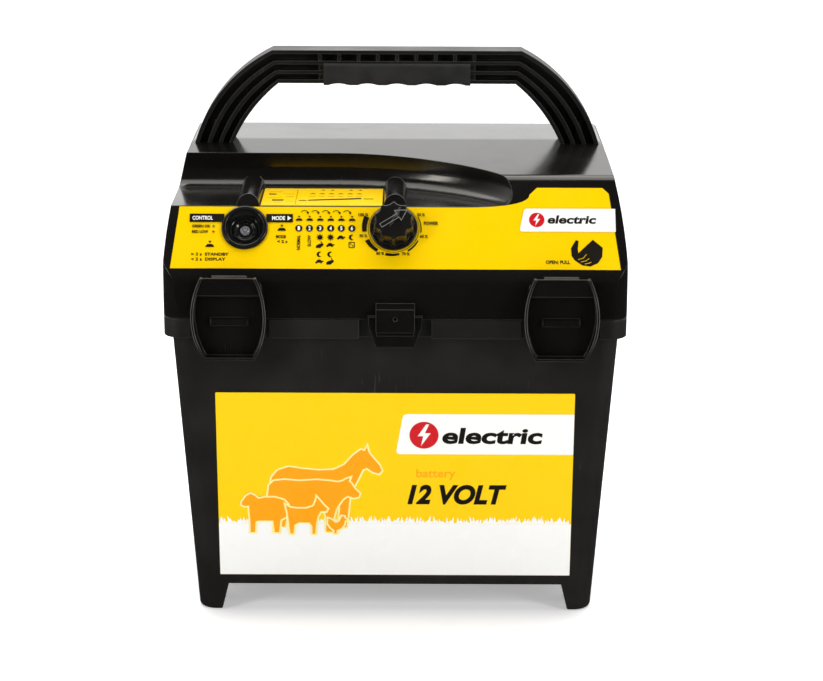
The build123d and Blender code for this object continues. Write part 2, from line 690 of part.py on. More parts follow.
for side, place in ((-1, "left"), (1, "right")):
    centre = side * latch_x
    with BuildPart() as latch:
        with BuildSketch(front_plane(latch_back_y)):
            with Locations((centre, 0)):
                add(latch_face)
        extrude(amount=latch_reach - 0.8)
        # The side ribs get lower towards the top and the foot.
        with BuildSketch(side_plane(centre - 40)):
            with BuildLine():
                Polyline(
                    (latch_back_y + 1, rim_z + latch_rise), (front_y - 9.5, rim_z + latch_rise),
                    (front_y - latch_reach, rim_z + 8), (front_y - latch_reach, rim_z - 8),
                    (front_y - 9, rim_z - latch_drop), (latch_back_y + 1, rim_z - latch_drop),
                    close=True,
                )
            make_face()
        extrude(amount=80, mode=Mode.INTERSECT)
        with BuildSketch(front_plane(latch_back_y - plate_t)):
            with Locations((centre, 0)):
                add(latch_pocket)
            with Locations((centre, rim_z - latch_drop)):
                Rectangle(2 * latch_belly_half, 2 * latch_rib, mode=Mode.SUBTRACT)
        extrude(amount=latch_reach, mode=Mode.SUBTRACT)
        # Bar across the plate, level with the flange.
        with BuildSketch(side_plane(centre - 12)):
            with Locations((latch_back_y - plate_t, rim_z - 0.5)):
                Circle(2.6)
        extrude(amount=24)
        # Window round the lid's lug, and the pin's holes in the side ribs.
        with BuildSketch(front_plane(front_y + 3)):
            with Locations((centre, latch_pivot_z + 3)):
                Rectangle(2 * (lug_half + 0.6), 15)
        extrude(amount=latch_reach + 6, mode=Mode.SUBTRACT)
        for start in (centre - latch_top_half - 1, centre + lug_half + 0.6):
            with BuildSketch(side_plane(start)):
                with Locations((latch_pivot_y, latch_pivot_z)):
                    Circle(latch_knuckle_r)
            extrude(amount=latch_top_half + 1 - lug_half - 0.6)
        # Hood over the pin: a skin in front of the lug and a web that joins it to the plate.
        for start_y, reach, height in (
            (latch_pivot_y - hood_gap, hood_t, latch_rise - hood_foot),
            (latch_back_y - 1, latch_back_y - 1 - latch_pivot_y + hood_gap + hood_t, hood_t),
        ):
            with BuildSketch(front_plane(start_y)):
                with Locations((centre, 0)):
                    add(latch_face)
                with Locations((centre, rim_z + hood_foot + height / 2)):
                    Rectangle(80, height, mode=Mode.INTERSECT)
            extrude(amount=reach)
        # Clear the lid's band above the flange, at rest and swung out, and turn freely.
        with BuildSketch(front_plane(latch_back_y)):
            with Locations((centre, rim_z)):
                Rectangle(80, 120)
        extrude(amount=-20, mode=Mode.SUBTRACT)
        with BuildSketch(side_plane(centre - 40)):
            with Locations(Location((latch_pivot_y, latch_pivot_z, 0), latch_swing)):
                with Locations((latch_knuckle_r + 10, 0)):
                    Rectangle(20, 40)
            with Locations((latch_pivot_y, latch_pivot_z)):
                Circle(latch_pin_r + running)
        extrude(amount=80, mode=Mode.SUBTRACT)
    finish(latch, f"latch_{place}")

    with BuildPart() as latch_hook:
        with BuildSketch(side_plane(centre - hook_half)):
            with BuildLine():
                Polyline(
                    (latch_back_y, hook_top_z + 1.5), (latch_back_y + 0.01, hook_top_z),
                    (hook_tip_y, hook_top_z), (latch_back_y + 0.8, hook_top_z - hook_t - 1.6),
                    (latch_back_y, hook_top_z - hook_t - 1.6), close=True,
                )
            make_face()
        extrude(amount=2 * hook_half)
    finish(latch_hook, f"latch_hook_{place}")

    with BuildPart() as latch_pin:
        with BuildSketch(side_plane(centre - latch_top_half + 0.2)):
            with Locations((latch_pivot_y, latch_pivot_z)):
                Circle(latch_pin_r)
        extrude(amount=2 * latch_top_half - 0.4)
    finish(latch_pin, f"latch_pin_{place}")

# ---------------------------------------------------------------- labels on the lid
label_margin = 4.6
label_foot_up = 5.6
label_shelf_up = shelf_up - 0.8
label_top_up = 62.5


def lid_half(z):
    """Half width of the lid on the panel at a height above the skirt."""
    share = (z - panel_z) / (lid_top_z - panel_z)
    return width / 2 - 0.5 - lid_top_narrowing * (0.64 * share + 0.31 * share**2)


with BuildPart() as control_label:
    with BuildSketch(panel_plane(0, 0)):
        low_half, shelf_half, top_half = (
            lid_half(panel_z + up * lean_cos) - label_margin
            for up in (label_foot_up, label_shelf_up, label_top_up)
        )
        tip_x = scoop_end_x + 2.5
        with BuildLine():
            Polyline(
                (tip_x + 5, label_top_up), (top_half - 4, label_top_up), (top_half, label_top_up - 4),
                (low_half, label_foot_up), (-low_half, label_foot_up),
                (-shelf_half, label_shelf_up), (scoop_end_x - 40, label_shelf_up),
            )
            Bezier(
                (scoop_end_x - 40, label_shelf_up), (scoop_end_x - 14, label_shelf_up),
                (tip_x, label_shelf_up + 3), (tip_x, label_top_up - 5),
            )
            Line((tip_x, label_top_up - 5), (tip_x + 5, label_top_up))
        make_face()
        with Locations((button_x, control_up)):
            Circle(bezel_hole_r + 0.2, mode=Mode.SUBTRACT)
        with Locations((knob_x, control_up)):
            Circle(bush_r + 3.5, mode=Mode.SUBTRACT)
    extrude(amount=label_t)
finish(control_label, "control_label")

shelf_left = button_x + 1.5 + ridge_r + 0.8
shelf_right = knob_x + 0.8 - ridge_r - 0.8
shelf_front_y = panel_y + shelf_up * lean_sin + 0.5
shelf_rear_y = scoop_back_y - cove_r - 2.0
with BuildPart() as display_label:
    with BuildSketch(Plane.XY.offset(shelf_z)):
        with Locations(((shelf_left + shelf_right) / 2, (shelf_front_y + shelf_rear_y) / 2)):
            Rectangle(shelf_right - shelf_left, shelf_rear_y - shelf_front_y)
    extrude(amount=label_t)
finish(display_label, "display_label")

# ---------------------------------------------------------------- power selector
selector_y = 20.0
selector_h = 10.0
board_depth = 15.5
shaft_r = 3.0
knob_gap = 0.5
skirt_h = 2.2
scallop_count = 10
arrow_turn = 57.0            # pointer at rest, clockwise from straight up the panel

with BuildPart() as selector_body:
    with BuildSketch(panel_plane(knob_x, control_up, -lid_wall)):
        RectangleRounded(selector_y, selector_y, 1)
    extrude(amount=-selector_h)
    with BuildSketch(panel_plane(knob_x, control_up, -lid_wall)):
        Circle(bush_r)
    extrude(amount=lid_wall + 4)
    with BuildSketch(panel_plane(knob_x, control_up, 5)):
        Circle(shaft_r + running)
    extrude(amount=-(lid_wall + 5 + 6), mode=Mode.SUBTRACT)
    with BuildSketch(panel_plane(knob_x, control_up, -lid_wall - selector_h)):
        with GridLocations(5, 0, 3, 1):
            Rectangle(1, 0.6)
    extrude(amount=-(board_depth - lid_wall - selector_h))
finish(selector_body, "selector_body")

with BuildPart() as selector_nut:
    with BuildSketch(panel_plane(knob_x, control_up, 0)):
        RegularPolygon(6.4, 6)
        Circle(bush_r, mode=Mode.SUBTRACT)
    extrude(amount=2.2)
finish(selector_nut, "selector_nut")

with BuildPart() as knob_shaft:
    with BuildSketch(panel_plane(knob_x, control_up, -lid_wall - 5.5)):
        Circle(shaft_r)
    extrude(amount=lid_wall + 5.5 + 12)
    with BuildSketch(panel_plane(knob_x, control_up, 4.6)):
        with Locations((0, -shaft_r)):
            Rectangle(8, 1.6)
    extrude(amount=8, mode=Mode.SUBTRACT)
finish(knob_shaft, "knob_shaft")

with BuildPart() as power_knob:
    base = label_t + knob_gap
    with BuildSketch(panel_plane(knob_x, control_up, base)):
        Circle(knob_r)
    extrude(amount=skirt_h)
    fillet(power_knob.faces().filter_by(GeomType.PLANE).sort_by(Axis.Z)[-1].edges(), 0.8)
    with BuildSketch(panel_plane(knob_x, control_up, base + skirt_h)):
        Circle(knob_r - 1.8)
        with PolarLocations(knob_r + 1.9, scallop_count):
            Circle(5.2, mode=Mode.SUBTRACT)
    extrude(amount=knob_height - skirt_h, taper=4)
    top = power_knob.faces().filter_by(GeomType.PLANE).sort_by_distance(
        panel_plane(knob_x, control_up, 60).origin
    )[0]
    fillet(top.edges(), 0.9)
    # Raised arrow on the cap.
    cap = panel_plane(knob_x, control_up, base + knob_height - 0.3)
    with BuildSketch(cap.rotated((0, 0, -arrow_turn), ordering=Intrinsic.XYZ)):
        with BuildLine():
            Polyline(
                (-1.1, -9), (1.1, -9), (1.1, 2.6), (3.6, 2.6), (0, 9.4),
                (-3.6, 2.6), (-1.1, 2.6), close=True,
            )
        make_face()
    extrude(amount=1.0)
    # Hollow underside over the nut, and the shaft's hole with its flat.
    with BuildSketch(panel_plane(knob_x, control_up, base)):
        Circle(bush_r + 4)
    extrude(amount=4.2, mode=Mode.SUBTRACT)
    add(knob_shaft.part, mode=Mode.SUBTRACT)
finish(power_knob, "power_knob")

# ---------------------------------------------------------------- mode button
button_r = 8.6
well_depth = 4.5
funnel_r = 12.6


def turned(x, outline):
    """Ring or disc turned about the panel's normal; outline points are (radius, out)."""
    spot = panel_plane(x, control_up)
    across = Plane(origin=spot.origin, x_dir=spot.x_dir, z_dir=-spot.y_dir)
    with BuildPart() as ring:
        with BuildSketch(across):
            with BuildLine():
                Polyline(*outline, close=True)
            make_face()
        revolve(axis=Axis(spot.origin, spot.z_dir))
    return ring.part


bezel_ring = turned(button_x, (
    (bezel_hole_r, -well_depth - 3.5), (bezel_hole_r, label_t), (bezel_r, label_t),
    (bezel_r, 1.7), (bezel_r - 0.9, 2.6), (funnel_r, 2.6), (funnel_r - 0.6, 2.0),
    (button_r + 0.9, -well_depth + 1.2), (button_r + play, -well_depth + 0.8),
    (button_r + play, -well_depth - 3.5),
))
button_disc = turned(button_x, (
    (0, -well_depth - 3.0), (button_r, -well_depth - 3.0), (button_r, -well_depth + 0.4),
    (button_r - 0.7, -well_depth + 1.0), (button_r - 2.0, -well_depth + 1.0),
    (5.2, -well_depth), (3.2, -well_depth), (3.2, -well_depth - 1.2), (0, -well_depth - 1.2),
))
lens_dome = turned(button_x, (
    (0, -well_depth - 1.2), (3.15, -well_depth - 1.2), (3.15, -well_depth + 0.3),
    (2.6, -well_depth + 1.2), (1.5, -well_depth + 1.9), (0, -well_depth + 2.1),
))

with BuildPart() as button_bezel:
    add(bezel_ring)
finish(button_bezel, "button_bezel")

stem_r = 2.6
switch_h = 4.0
switch_out = -board_depth + switch_h
with BuildPart() as mode_button:
    add(button_disc)
    with BuildSketch(panel_plane(button_x, control_up, -well_depth - 3.0)):
        Circle(stem_r)
    extrude(amount=switch_out + button_travel + play + well_depth + 3.0)
    with BuildSketch(panel_plane(button_x, control_up, -well_depth + 2)):
        with PolarLocations(6.0, 3, start_angle=90):
            Circle(0.9)
    extrude(amount=-3.4, mode=Mode.SUBTRACT)
finish(mode_button, "mode_button")

with BuildPart() as button_lens:
    add(lens_dome)
finish(button_lens, "button_lens")

spring_r = 4.4
spring_wire = 0.35
spring_low = -board_depth + 0.5
spring_high = -well_depth - 3.0
spring_length = spring_high - spring_low - 2 * spring_wire
with BuildPart() as button_spring:
    start = panel_plane(button_x, control_up, spring_low + spring_wire)
    with BuildLine() as coil:
        Helix(
            pitch=spring_length / 5, height=spring_length, radius=spring_r,
            center=start.origin, direction=start.z_dir,
        )
    with BuildSketch(Plane(origin=coil.line @ 0, z_dir=coil.line % 0)):
        Circle(spring_wire)
    sweep(path=coil.line)
finish(button_spring, "button_spring")

with BuildPart() as push_switch:
    with BuildSketch(panel_plane(button_x, control_up, -board_depth)):
        RectangleRounded(5.6, 5.6, 0.5)
    extrude(amount=switch_h - 0.8)
    with BuildSketch(panel_plane(button_x, control_up, -board_depth)):
        Circle(1.6)
    extrude(amount=switch_h)
finish(push_switch, "push_switch")

board_t = 1.6
control_board_half = 68.0
with BuildPart() as control_board:
    with BuildSketch(panel_plane((button_x + knob_x) / 2, control_up - 2, -board_depth)):
        RectangleRounded(2 * control_board_half, 30, 2)
    extrude(amount=-board_t)
finish(control_board, "control_board")

with BuildPart() as control_posts:
    for x in ((button_x + knob_x) / 2 - 61, (button_x + knob_x) / 2, (button_x + knob_x) / 2 + 61):
        with BuildSketch(panel_plane(x, control_up + 8, -board_depth)):
            Circle(2.5)
        extrude(amount=board_depth - lid_wall)
finish(control_posts, "control_posts")

with BuildPart() as status_leds:
    for x in (button_x - 12, button_x + 12):
        with BuildSketch(panel_plane(x, control_up - 10, -board_depth)):
            Rectangle(3.5, 2.8)
        extrude(amount=1.6)
finish(status_leds, "status_leds")

# ---------------------------------------------------------------- electronics
with BuildPart() as electronics_cover:
    with BuildSketch(Plane.XY.offset(cover_z)):
        RectangleRounded(2 * cover_half_x, 2 * cover_half_y, corner_r - lid_wall - 1)
        with Locations(*post_spots):
            Circle(screw_r + 0.3, mode=Mode.SUBTRACT)
    extrude(amount=cover_t)
    with BuildSketch(Plane.XY.offset(cover_z + cover_t)):
        with GridLocations(90, 0, 3, 1):
            Rectangle(2, 120)
    extrude(amount=4)
    with BuildSketch(Plane.XY.offset(cover_z)):
        with Locations((-105, 40)):
            Circle(6)
    extrude(amount=cover_t, mode=Mode.SUBTRACT)
finish(electronics_cover, "electronics_cover")

with BuildPart() as cover_gasket:
    with BuildSketch(Plane.XY.offset(cover_z + cover_t)):
        RectangleRounded(2 * cover_half_x, 2 * cover_half_y, corner_r - lid_wall - 1)
        RectangleRounded(
            2 * (cover_half_x - seat_width), 2 * (cover_half_y - seat_width), 6,
            mode=Mode.SUBTRACT,
        )
    extrude(amount=gasket_t)
    with BuildSketch(Plane.XY.offset(cover_z + cover_t)):
        with Locations(*post_spots):
            Circle(post_r)
    extrude(amount=gasket_t)
    with BuildSketch(Plane.XY.offset(cover_z + cover_t)):
        with Locations(*post_spots):
            Circle(screw_r + 0.3)
    extrude(amount=gasket_t, mode=Mode.SUBTRACT)
finish(cover_gasket, "cover_gasket")

with BuildPart() as cover_screws:
    with BuildSketch(Plane.XY.offset(cover_z - 1.8)):
        with Locations(*post_spots):
            Circle(3.2)
    extrude(amount=1.8)
    with BuildSketch(Plane.XY.offset(cover_z)):
        with Locations(*post_spots):
            Circle(screw_r)
    extrude(amount=seat_z - cover_z + 8)
    with BuildSketch(Plane.XY.offset(cover_z - 1.8)):
        with Locations(*post_spots):
            Rectangle(4.2, 0.8)
            Rectangle(0.8, 4.2)
    extrude(amount=1.0, mode=Mode.SUBTRACT)
finish(cover_screws, "cover_screws")

seal_low = rim_z + lid_gap + 0.2
with BuildPart() as rim_seal:
    half_x, half_y = wall_half(rim_z)
    with BuildSketch(Plane.XY.offset(seal_low)):
        RectangleRounded(2 * half_x - 0.6, 2 * half_y - 0.6, corner_r - 1)
        RectangleRounded(2 * half_x - 5.6, 2 * half_y - 5.6, corner_r - 3.5, mode=Mode.SUBTRACT)
    extrude(amount=cover_z - seal_low)
finish(rim_seal, "rim_seal")

with BuildPart() as lead_gland:
    with BuildSketch(Plane.XY.offset(cover_z - 3)):
        with Locations((-105, 40)):
            Circle(9)
            Circle(6, mode=Mode.SUBTRACT)
    extrude(amount=3)
    with BuildSketch(Plane.XY.offset(cover_z - 6)):
        with Locations((-105, 40)):
            Circle(6)
    extrude(amount=6 + cover_t)
    with BuildSketch(Plane.XY.offset(cover_z - 6)):
        with Locations((-105, 40)):
            with GridLocations(6, 0, 2, 1):
                Circle(2.2)
    extrude(amount=6 + cover_t, mode=Mode.SUBTRACT)
finish(lead_gland, "lead_gland")

main_board_z = cover_z + cover_t + 7
with BuildPart() as main_board:
    with BuildSketch(Plane.XY.offset(main_board_z)):
        with Locations((0, 12)):
            RectangleRounded(220, 124, 3)
        with Locations((0, 12)):
            with GridLocations(204, 108, 2, 2):
                Circle(1.6, mode=Mode.SUBTRACT)
    extrude(amount=board_t)
finish(main_board, "main_board")

with BuildPart() as board_spacers:
    with BuildSketch(Plane.XY.offset(cover_z + cover_t)):
        with Locations((0, 12)):
            with GridLocations(204, 108, 2, 2):
                Circle(3.5)
                Circle(1.6, mode=Mode.SUBTRACT)
    extrude(amount=7)
finish(board_spacers, "board_spacers")

with BuildPart() as board_screws:
    with BuildSketch(Plane.XY.offset(main_board_z + board_t)):
        with Locations((0, 12)):
            with GridLocations(204, 108, 2, 2):
                Circle(2.8)
    extrude(amount=2)
    with BuildSketch(Plane.XY.offset(cover_z + cover_t)):
        with Locations((0, 12)):
            with GridLocations(204, 108, 2, 2):
                Circle(1.6)
    extrude(amount=7 + board_t)
finish(board_screws, "board_screws")

parts_z = main_board_z + board_t
core_x = 62.0
core_mid = (20.0, 25.0)
core_size = (62.0, 40.0, 46.0)
window = (12.0, 28.0)
with BuildPart() as transformer_core:
    with BuildSketch(front_plane(core_mid[1] + core_size[1] / 2)):
        with Locations((core_x - 2, parts_z + core_size[2] / 2)):
            Rectangle(core_size[0], core_size[2])
            with GridLocations(window[0] + 16, 0, 2, 1):
                Rectangle(*window, mode=Mode.SUBTRACT)
    extrude(amount=core_size[1])
finish(transformer_core, "transformer_core")

with BuildPart() as transformer_coil:
    with BuildSketch(Plane.XY.offset(parts_z + (core_size[2] - window[1]) / 2 + 0.5)):
        with Locations((core_x - 2, core_mid[1])):
            RectangleRounded(16 + 2 * (window[0] - 1), core_size[1] + 2 * (window[0] - 1), 5)
            Rectangle(16, core_size[1], mode=Mode.SUBTRACT)
    extrude(amount=window[1] - 1)
finish(transformer_coil, "transformer_coil")

cap_r = 17.0
clip_t = 1.6
cap_y = 34.0
cap_z = parts_z + cap_r + clip_t
with BuildPart() as storage_capacitor:
    with BuildSketch(side_plane(-66)):
        with Locations((cap_y, cap_z)):
            Circle(cap_r)
    extrude(amount=70)
    fillet(storage_capacitor.edges().filter_by(GeomType.CIRCLE), 1.5)
finish(storage_capacitor, "storage_capacitor")

with BuildPart() as capacitor_clips:
    for x in (-52, -10):
        with BuildSketch(side_plane(x)):
            with Locations((cap_y, cap_z)):
                Circle(cap_r + clip_t)
            with Locations((cap_y, parts_z + 4)):
                Rectangle(2 * cap_r + 10, 8)
            with Locations((cap_y, cap_z)):
                Circle(cap_r, mode=Mode.SUBTRACT)
        extrude(amount=8)
finish(capacitor_clips, "capacitor_clips")

with BuildPart() as charging_choke:
    with BuildSketch(Plane.XY.offset(parts_z)):
        with Locations((-90, 40)):
            Circle(15)
            Circle(6, mode=Mode.SUBTRACT)
    extrude(amount=14)
    fillet(charging_choke.edges().filter_by(GeomType.CIRCLE), 2)
finish(charging_choke, "charging_choke")

with BuildPart() as heat_sink:
    with BuildSketch(Plane.XY.offset(parts_z)):
        with Locations((-40, -22)):
            Rectangle(60, 3)
            with Locations((0, 7)):
                with GridLocations(8, 0, 8, 1):
                    Rectangle(1.8, 12)
    extrude(amount=24)
finish(heat_sink, "heat_sink")

with BuildPart() as power_switches:
    for x in (-56, -24):
        with BuildSketch(front_plane(-23.5)):
            with Locations((x, parts_z + 12)):
                Rectangle(10, 15)
        extrude(amount=4.4)
        with BuildSketch(Plane.XY.offset(parts_z)):
            with Locations((x, -25.7)):
                with GridLocations(2.54, 0, 3, 1):
                    Rectangle(1, 0.6)
        extrude(amount=5)
finish(power_switches, "power_switches")

# ---------------------------------------------------------------- rear connections
terminal_washer_t = 1.2
nut_gap = 0.3
nut_r = 9.5
nut_reach = latch_reach - (seat_y - rear_y) - terminal_washer_t - nut_gap
for name, x in terminal_spots.items():
    with BuildPart() as stud:
        with BuildSketch(rear_plane(x, terminal_z, inner_seat_y - 12)):
            Circle(stud_r)
        extrude(amount=rear_y + latch_reach - 2 - (inner_seat_y - 12))
        with BuildSketch(rear_plane(x, terminal_z, inner_seat_y - 4)):
            RegularPolygon(6, 6)
        extrude(amount=4)
    finish(stud, f"{name}_stud")

    with BuildPart() as terminal_nut:
        nut_y = seat_y + terminal_washer_t + nut_gap
        with BuildSketch(rear_plane(x, terminal_z, nut_y)):
            Circle(nut_r - 1.5)
        extrude(amount=2)
        with BuildSketch(rear_plane(x, terminal_z, nut_y + 2)):
            Circle(nut_r)
            with PolarLocations(nut_r + 0.5, 12):
                Circle(1.5, mode=Mode.SUBTRACT)
        extrude(amount=nut_reach - 2)
        outer_face = terminal_nut.faces().sort_by(Axis.Y)[-1]
        fillet(outer_face.edges(), 0.8)
        with BuildSketch(rear_plane(x, terminal_z, nut_y)):
            Circle(stud_r + running)
        extrude(amount=nut_reach - 1.5, mode=Mode.SUBTRACT)
    finish(terminal_nut, f"{name}_nut")

with BuildPart() as terminal_washers:
    for x in terminal_spots.values():
        with BuildSketch(rear_plane(x, terminal_z, seat_y)):
            Circle(8)
            Circle(stud_r, mode=Mode.SUBTRACT)
        extrude(amount=terminal_washer_t)
finish(terminal_washers, "terminal_washers")

socket_r = 7.0
socket_lip = 2.2
cap_pin_z = terminal_z + 13.5
cap_pin_y = seat_y + socket_lip + 1.6
with BuildPart() as adapter_socket:
    with BuildSketch(rear_plane(socket_x, terminal_z, inner_seat_y - 9)):
        Circle(socket_r)
    extrude(amount=seat_y - (inner_seat_y - 9))
    with BuildSketch(rear_plane(socket_x, terminal_z, seat_y)):
        Circle(10)
        with Locations((0, 11)):
            Rectangle(6, 6)
    extrude(amount=socket_lip)
    with BuildSketch(rear_plane(socket_x, terminal_z, seat_y + socket_lip)):
        Circle(3.3)
    extrude(amount=-12, mode=Mode.SUBTRACT)
    with BuildSketch(rear_plane(socket_x, terminal_z, seat_y + socket_lip - 12)):
        Circle(1.0)
    extrude(amount=10)
    with BuildSketch(side_plane(socket_x - 3)):
        with Locations((cap_pin_y, cap_pin_z)):
            Circle(1.9)
        with Locations((cap_pin_y - 1.4, cap_pin_z - 1)):
            Rectangle(2.4, 3.4)
    extrude(amount=6)
    with BuildSketch(side_plane(socket_x - 7)):
        with Locations((cap_pin_y, cap_pin_z)):
            Circle(1.0)
    extrude(amount=14)
finish(adapter_socket, "adapter_socket")

with BuildPart() as socket_nut:
    with BuildSketch(rear_plane(socket_x, terminal_z, inner_seat_y)):
        RegularPolygon(10, 6)
        Circle(socket_r, mode=Mode.SUBTRACT)
    extrude(amount=-3)
finish(socket_nut, "socket_nut")

with BuildPart() as socket_cap:
    cap_back_y = seat_y + socket_lip + play
    with BuildSketch(rear_plane(socket_x, terminal_z, cap_back_y)):
        Circle(10.5)
        with Locations((5.2, 8), (-5.2, 8)):
            Rectangle(3.2, 8)
        with Locations((0, 14.5)):
            Rectangle(6.8, 9, mode=Mode.SUBTRACT)
    extrude(amount=2.6)
    for x in (socket_x - 6.8, socket_x + 3.6):
        with BuildSketch(side_plane(x)):
            with Locations((cap_pin_y, cap_pin_z)):
                Circle(1.9)
            with Locations((cap_pin_y + 0.05, cap_pin_z - 1.6)):
                Rectangle(2.5, 3.2)
            with Locations((cap_pin_y, cap_pin_z)):
                Circle(1.0 + running, mode=Mode.SUBTRACT)
        extrude(amount=3.2)
    with BuildSketch(rear_plane(socket_x, terminal_z, cap_back_y)):
        with Locations((0, -9.6)):
            Rectangle(7, 3)
    extrude(amount=4.4)
finish(socket_cap, "socket_cap")
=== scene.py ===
"""Looks of the portable fence energizer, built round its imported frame.

Run as a script: it loads the frame, makes every printed and fine piece with the operators
below, gives every moulding its finish, and sets the studio and the camera.
"""

import json
import math

import bmesh
import bpy
from mathutils import Matrix, Vector


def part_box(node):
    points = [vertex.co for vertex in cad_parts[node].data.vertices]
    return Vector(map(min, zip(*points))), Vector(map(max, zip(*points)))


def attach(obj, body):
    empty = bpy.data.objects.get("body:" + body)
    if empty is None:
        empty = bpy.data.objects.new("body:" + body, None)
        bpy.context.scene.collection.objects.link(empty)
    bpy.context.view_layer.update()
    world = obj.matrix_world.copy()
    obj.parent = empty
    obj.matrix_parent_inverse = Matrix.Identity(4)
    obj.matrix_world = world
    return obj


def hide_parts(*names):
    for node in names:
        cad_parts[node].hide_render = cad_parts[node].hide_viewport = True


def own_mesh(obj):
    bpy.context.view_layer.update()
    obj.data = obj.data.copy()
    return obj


bl_info = {
    "name": "Fence energizer looks",
    "version": (1, 0, 0),
    "blender": (4, 5, 0),
    "location": "View3D > Sidebar > Energizer",
    "description": "Printed labels, fine parts and finishes of a portable fence energizer",
    "category": "Object",
}

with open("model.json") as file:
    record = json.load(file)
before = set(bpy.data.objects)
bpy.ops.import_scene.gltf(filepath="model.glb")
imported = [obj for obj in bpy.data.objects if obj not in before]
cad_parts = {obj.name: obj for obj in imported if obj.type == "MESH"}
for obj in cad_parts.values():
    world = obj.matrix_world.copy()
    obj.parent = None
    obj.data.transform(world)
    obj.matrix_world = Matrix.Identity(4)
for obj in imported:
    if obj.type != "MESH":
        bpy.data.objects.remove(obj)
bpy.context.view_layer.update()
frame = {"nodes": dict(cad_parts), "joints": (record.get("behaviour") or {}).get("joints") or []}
NODES = frame["nodes"]
MM = 0.001


# ------------------------------------------------------------------ places from the frame
def joint_place(name):
    """Point and axis of a turning joint at rest."""
    found = next(j for j in frame["joints"] if j["name"] == name)
    return Vector(found["pos_m"]), Vector(found["axis"]).normalized()


def middle_of(node):
    """Middle of a node's box."""
    low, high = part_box(node)
    return (low + high) / 2


def facing(origin, outward, across=Vector((1, 0, 0))):
    """Matrix of a surface: local X across, local Y up the surface and local Z outward."""
    z = outward.normalized()
    x = (across - across.dot(z) * z).normalized()
    y = z.cross(x)
    turn = Matrix((x, y, z)).transposed().to_4x4()
    return Matrix.Translation(origin) @ turn


def label_face(node):
    """Outward direction of a label's face, and how far along it the face lies."""
    mesh = NODES[node].data
    outward = Vector((0, 0, 0))
    for face in mesh.polygons:
        if face.normal.y < -0.1:
            outward += face.normal * face.area
    outward.normalize()
    return outward, max(v.co.dot(outward) for v in mesh.vertices)


def front_place():
    """Surface of the front label, measured from the middle of the floor line."""
    outward, reach = label_face("front_label")
    return facing(Vector((0, reach / outward.y, 0)), outward)


def panel_place():
    """Surface of the control label, measured from the middle of the panel's lower edge."""
    outward, reach = label_face("control_label")
    knob_point = joint_place("knob_turn")[0]
    on_face = knob_point + outward * (reach - knob_point.dot(outward))
    surface = facing(on_face, outward)
    up = surface.to_3x3().col[1]
    below = on_face - up * KNOB_UP * MM
    return facing(Vector((0, below.y, below.z)), outward)


KNOB_UP = 33.5               # knob's axis, up the panel from its lower edge, in millimetres
ARROW_TURN = 57.0            # degrees clockwise from straight up
FRONT = front_place()
PANEL = panel_place()
SHELF = facing(Vector((0, 0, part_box("display_label")[1].z)), Vector((0, 0, 1)))
KNOB_X = joint_place("knob_turn")[0].x / MM


# ------------------------------------------------------------------ materials
GLOSS_EDGE_HIGHLIGHT = (0.16, 0.155, 0.15)     # colour of the painted highlight along the edges of the polished mouldings
DULL_SCRATCH_AND_EDGE_HIGHLIGHT = (0.12, 0.115, 0.11)      # colour of the painted edge highlight on the grained ones, and of their scratches
BEVEL_SAMPLES = 6


